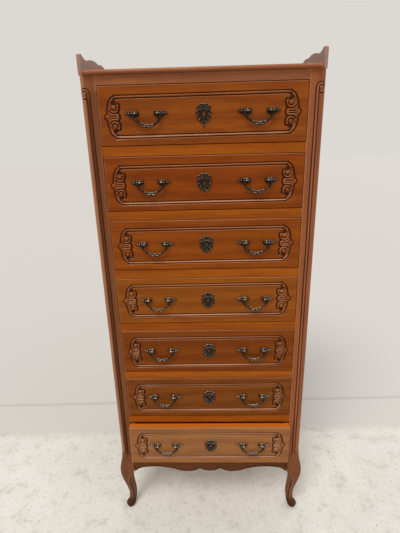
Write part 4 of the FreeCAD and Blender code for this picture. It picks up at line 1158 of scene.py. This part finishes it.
# Finish, grain, seed, brightness, golden share, painted sheen, and the nodes that have it.
CASE_WOODS = (
    ("top_rail_wood", ALONG_X, 1.7, 1.0, 1.05, 0.034, ("top_rail",)),
    ("rail_wood", ALONG_X, 2.2, 1.12, 1.0, 0.0, ("drawer_rails",)),
    ("side_wood", ALONG_Z, 6.6, 0.95, 1.05, 0.0,
     ("side_panel_left", "side_panel_right", "rear_post_left", "rear_post_right")),
    ("side_apron_wood", ALONG_Y, 7.3, 0.9, 1.05, 0.0, ("side_apron_left", "side_apron_right")),
    # The gallery sides' large sheen is a painted highlight on the wings.
    ("gallery_wood", ALONG_Y, 8.4, 0.8, 1.05, 0.15, ("gallery_side_left", "gallery_side_right")),
    ("gallery_back_wood", ALONG_X, 8.9, 0.9, 1.1, 0.02, ("gallery_back",)),
)
# Finish, grain, seed, brightness, and the nodes that have it.
BARE_WOODS = (
    ("softwood_long", ALONG_X, 3.3, 0.95, ("bottom_rail", "back_rails", "drawer_stops", "glue_blocks")),
    ("softwood_runner", ALONG_Y, 4.4, 0.9, ("runners_left", "runners_right")),
    ("back_ply", ALONG_Z, 5.5, 0.8, ("back_panel",)),
    ("drawer_beech", ALONG_Y, 6.1, 1.05, tuple(drawer(number, "_box") for number in DRAWERS)),
)


def dress(name, material, width):
    """Gives a node its finish, welds its loose triangles and eases its edges."""
    node = NODES[name]
    node.data.materials.clear()
    node.data.materials.append(material)
    weld = node.modifiers.new("Weld", "WELD")
    weld.merge_threshold = 0.00001
    bevel = node.modifiers.new("Eased edges", "BEVEL")
    bevel.width = width
    bevel.segments = 2
    bevel.limit_method = "ANGLE"
    bevel.angle_limit = math.radians(50)
    bevel.use_clamp_overlap = True


class CHEST_OT_boards(bpy.types.Operator):
    """Finish the plain boards of the case and the drawer boxes"""
    bl_idname = "chest.boards"
    bl_label = "Case boards"

    def execute(self, context):
        tint = colours()
        width = sizes().board_round
        for name, turn, seed, bright, warm, painted_sheen, nodes in CASE_WOODS:
            wood = show_wood(name, turn, seed, bright, warm, painted_sheen, False)
            for node in nodes:
                dress(node, wood, width)
        for name, turn, seed, bright, nodes in BARE_WOODS:
            wood = finish_called(name, bare, turn, seed, lighter(tint.bare_light, bright),
                                 lighter(tint.bare_deep, bright))
            for node in nodes:
                dress(node, wood, BARE_EDGE)
        return {"FINISHED"}


# ---- stage ----
STAGE_LINE = FRONT_PLANE + 0.4066       # where the floor's colour gives way to the wall's
SKIRTING_LINE = FRONT_PLANE + 0.574     # and where the skirting's line begins
LINE_SLANT = 0.025                      # both run a little askew of the chest
LINE_SHIFT = 0.019
FLOOR_PALE = (0.84, 0.84, 0.79)
FLOOR_DULL = (0.56, 0.545, 0.48)
FLOOR_SPECK = (0.46, 0.445, 0.39)
FLOOR_FLECK = (0.25, 0.23, 0.2)
WALL_FOOT_SHADE = (0.42, 0.38, 0.33)
SKIRTING = (0.42, 0.4, 0.37)


def floor_finish():
    """Pale, patchy floor in front, and the plain white behind the chest, with painted shade along the wall's
    foot.
    """
    finish = Finish(bpy.data.materials.new("pale_floor"))
    tint = colours()
    place = finish.node("ShaderNodeTexCoord", out=3)
    broad = finish.noise(place, 2.2, 3.0, 0.55)
    patches = finish.noise(place, 16.0, 6.0, 0.7, 0.2)
    speck = finish.noise(place, 75.0, 4.0, 0.65)
    fleck = finish.node("ShaderNodeTexVoronoi", {"feature": "F1"}, {"Vector": place, "Scale": 46.0})
    base = finish.mix(finish.ease(broad, 0.38, 0.62), lighter(tint.floor, 1.04), lighter(tint.floor, 0.97))
    base = finish.mix(finish.ease(patches, 0.5, 0.66, 0.0, 0.4), base, FLOOR_PALE)
    base = finish.mix(finish.ease(patches, 0.34, 0.48, 0.6, 0.0), base, FLOOR_DULL)
    base = finish.mix(finish.ease(speck, 0.54, 0.68, 0.0, 0.45), base, FLOOR_SPECK)
    base = finish.mix(finish.ease(fleck, 0.06, 0.18, 0.6, 0.0) * finish.ease(patches, 0.53, 0.6), base,
                      FLOOR_FLECK)
    back = finish.part_of(place, 1) - finish.part_of(place, 0) * LINE_SLANT + LINE_SHIFT
    behind = finish.ease(back, STAGE_LINE - 0.004, STAGE_LINE + 0.004)
    # Painted shade on the floor along the foot of the wall.
    foot = finish.ease(back, STAGE_LINE - 0.05, STAGE_LINE, 0.0, 0.3) * (1 - behind)
    base = finish.mix(foot, base, WALL_FOOT_SHADE)
    skirting = finish.ease(back, SKIRTING_LINE, SKIRTING_LINE + 0.006) * finish.ease(
        back, SKIRTING_LINE + 0.012, SKIRTING_LINE + 0.03, 1.0, 0.0)
    base = finish.mix(behind, base, tuple(tint.wall))
    base = finish.mix(skirting * 0.4, base, SKIRTING)
    return finish.close({"Base Color": base, "Roughness": 0.75})


# Lamp, direction that it shines from, power, spread in degrees, colour.
LAMPS = (
    ("key", (-0.35, -0.75, 1.25), 1.6, 24.0, (1.0, 0.96, 0.9)),
    ("fill", (0.9, -0.8, 0.7), 0.5, 60.0, (0.95, 0.97, 1.0)),
    ("rear", (0.5, 1.0, 0.9), 0.4, 60.0, (1.0, 1.0, 1.0)),
)
FLOOR_SIZE = 14.0           # half its width
CAMERA_PLACE = (0.0171, FRONT_PLANE - 1.0247, 1.2525)
CAMERA_PITCH = math.radians(19.566)
CAMERA_YAW = math.radians(-1.837)
CAMERA_ROLL = math.radians(1.513)
CAMERA_LENS = 27.0


class CHEST_OT_stage(bpy.types.Operator):
    """Lay the floor, hang the lamps and set the camera"""
    bl_idname = "chest.stage"
    bl_label = "Stage"

    def execute(self, context):
        bm = bmesh.new()
        bmesh.ops.create_grid(bm, x_segments=2, y_segments=2, size=FLOOR_SIZE)
        mesh = bpy.data.meshes.new("floor")
        bm.to_mesh(mesh)
        bm.free()
        floor = bpy.data.objects.new("floor", mesh)
        mesh.materials.append(floor_finish())
        context.scene.collection.objects.link(floor)
        self.light(context)
        self.camera(context)
        context.scene.view_settings.view_transform = "Standard"
        return {"FINISHED"}

    def light(self, context):
        context.scene.world = bpy.data.worlds.new("soft_room")
        self.backdrop(Finish(context.scene.world))
        for name, place, power, spread, tint in LAMPS:
            lamp = bpy.data.lights.new(name, "SUN")
            lamp.energy = power
            lamp.angle = math.radians(spread)
            lamp.color = tint
            holder = bpy.data.objects.new(name, lamp)
            holder.rotation_mode = "QUATERNION"
            holder.rotation_quaternion = Vector(place).to_track_quat("Z", "Y")
            holder.location = Vector(place) * 3
            context.scene.collection.objects.link(holder)

    def backdrop(self, room):
        """Soft light from all round, and the wall's colour wherever it is seen past the floor."""
        light = room.node("ShaderNodeBackground", {}, {"Color": (1.0, 0.98, 0.96, 1.0), "Strength": 0.5})
        wall = room.node("ShaderNodeBackground", {}, {"Color": opaque(colours().sky)})
        seen = room.node("ShaderNodeLightPath", out="Is Camera Ray")
        for ray in ("Is Glossy Ray", "Is Transmission Ray"):
            seen = room.node("ShaderNodeMath", {"operation": "MAXIMUM"},
                             {0: seen, 1: room.node("ShaderNodeLightPath", out=ray)})
        choice = room.node("ShaderNodeMixShader", {}, {0: seen, 1: light, 2: wall})
        room.node("ShaderNodeOutputWorld", {}, {"Surface": choice}, out=None)

    def camera(self, context):
        flat = math.cos(CAMERA_PITCH)
        forward = Vector((math.sin(CAMERA_YAW) * flat, math.cos(CAMERA_YAW) * flat, -math.sin(CAMERA_PITCH)))
        level = Vector((math.cos(CAMERA_YAW), -math.sin(CAMERA_YAW), 0))
        down = forward.cross(level)
        across = math.cos(CAMERA_ROLL) * level + math.sin(CAMERA_ROLL) * down
        below = -math.sin(CAMERA_ROLL) * level + math.cos(CAMERA_ROLL) * down
        lens = bpy.data.cameras.new("camera")
        lens.lens = CAMERA_LENS
        lens.sensor_width = 36.0
        lens.clip_start = 0.05
        lens.clip_end = 50.0
        camera = bpy.data.objects.new("camera", lens)
        camera.matrix_world = Matrix([
            (across[k], -below[k], -forward[k], CAMERA_PLACE[k]) for k in range(3)] + [(0, 0, 0, 1)])
        context.scene.collection.objects.link(camera)
        context.scene.camera = camera


# ---- sidebar ----
PIECES = (CHEST_OT_fronts, CHEST_OT_handles, CHEST_OT_mounts, CHEST_OT_posts, CHEST_OT_legs, CHEST_OT_apron,
          CHEST_OT_top, CHEST_OT_boards, CHEST_OT_stage)


class CHEST_PT_sidebar(bpy.types.Panel):
    bl_idname = "CHEST_PT_sidebar"
    bl_label = "Semainier"
    bl_space_type = "VIEW_3D"
    bl_region_type = "UI"
    bl_category = "Semainier"

    def draw(self, context):
        layout = self.layout
        for group in (context.scene.chest_sizes, context.scene.chest_colours):
            for name in group.bl_rna.properties.keys():
                if name not in ("rna_type", "name"):
                    layout.prop(group, name)
        for operator in PIECES:
            layout.operator(operator.bl_idname)


CLASSES = (ChestSizes, ChestColours, *PIECES, CHEST_PT_sidebar)


def register():
    for each in CLASSES:
        bpy.utils.register_class(each)
    bpy.types.Scene.chest_sizes = bpy.props.PointerProperty(type=ChestSizes)
    bpy.types.Scene.chest_colours = bpy.props.PointerProperty(type=ChestColours)


def unregister():
    del bpy.types.Scene.chest_sizes
    del bpy.types.Scene.chest_colours
    for each in reversed(CLASSES):
        bpy.utils.unregister_class(each)


def main():
    register()
    for operator in PIECES:
        getattr(bpy.ops.chest, operator.bl_idname.split(".")[1])()


if __name__ == "__main__":
    main()
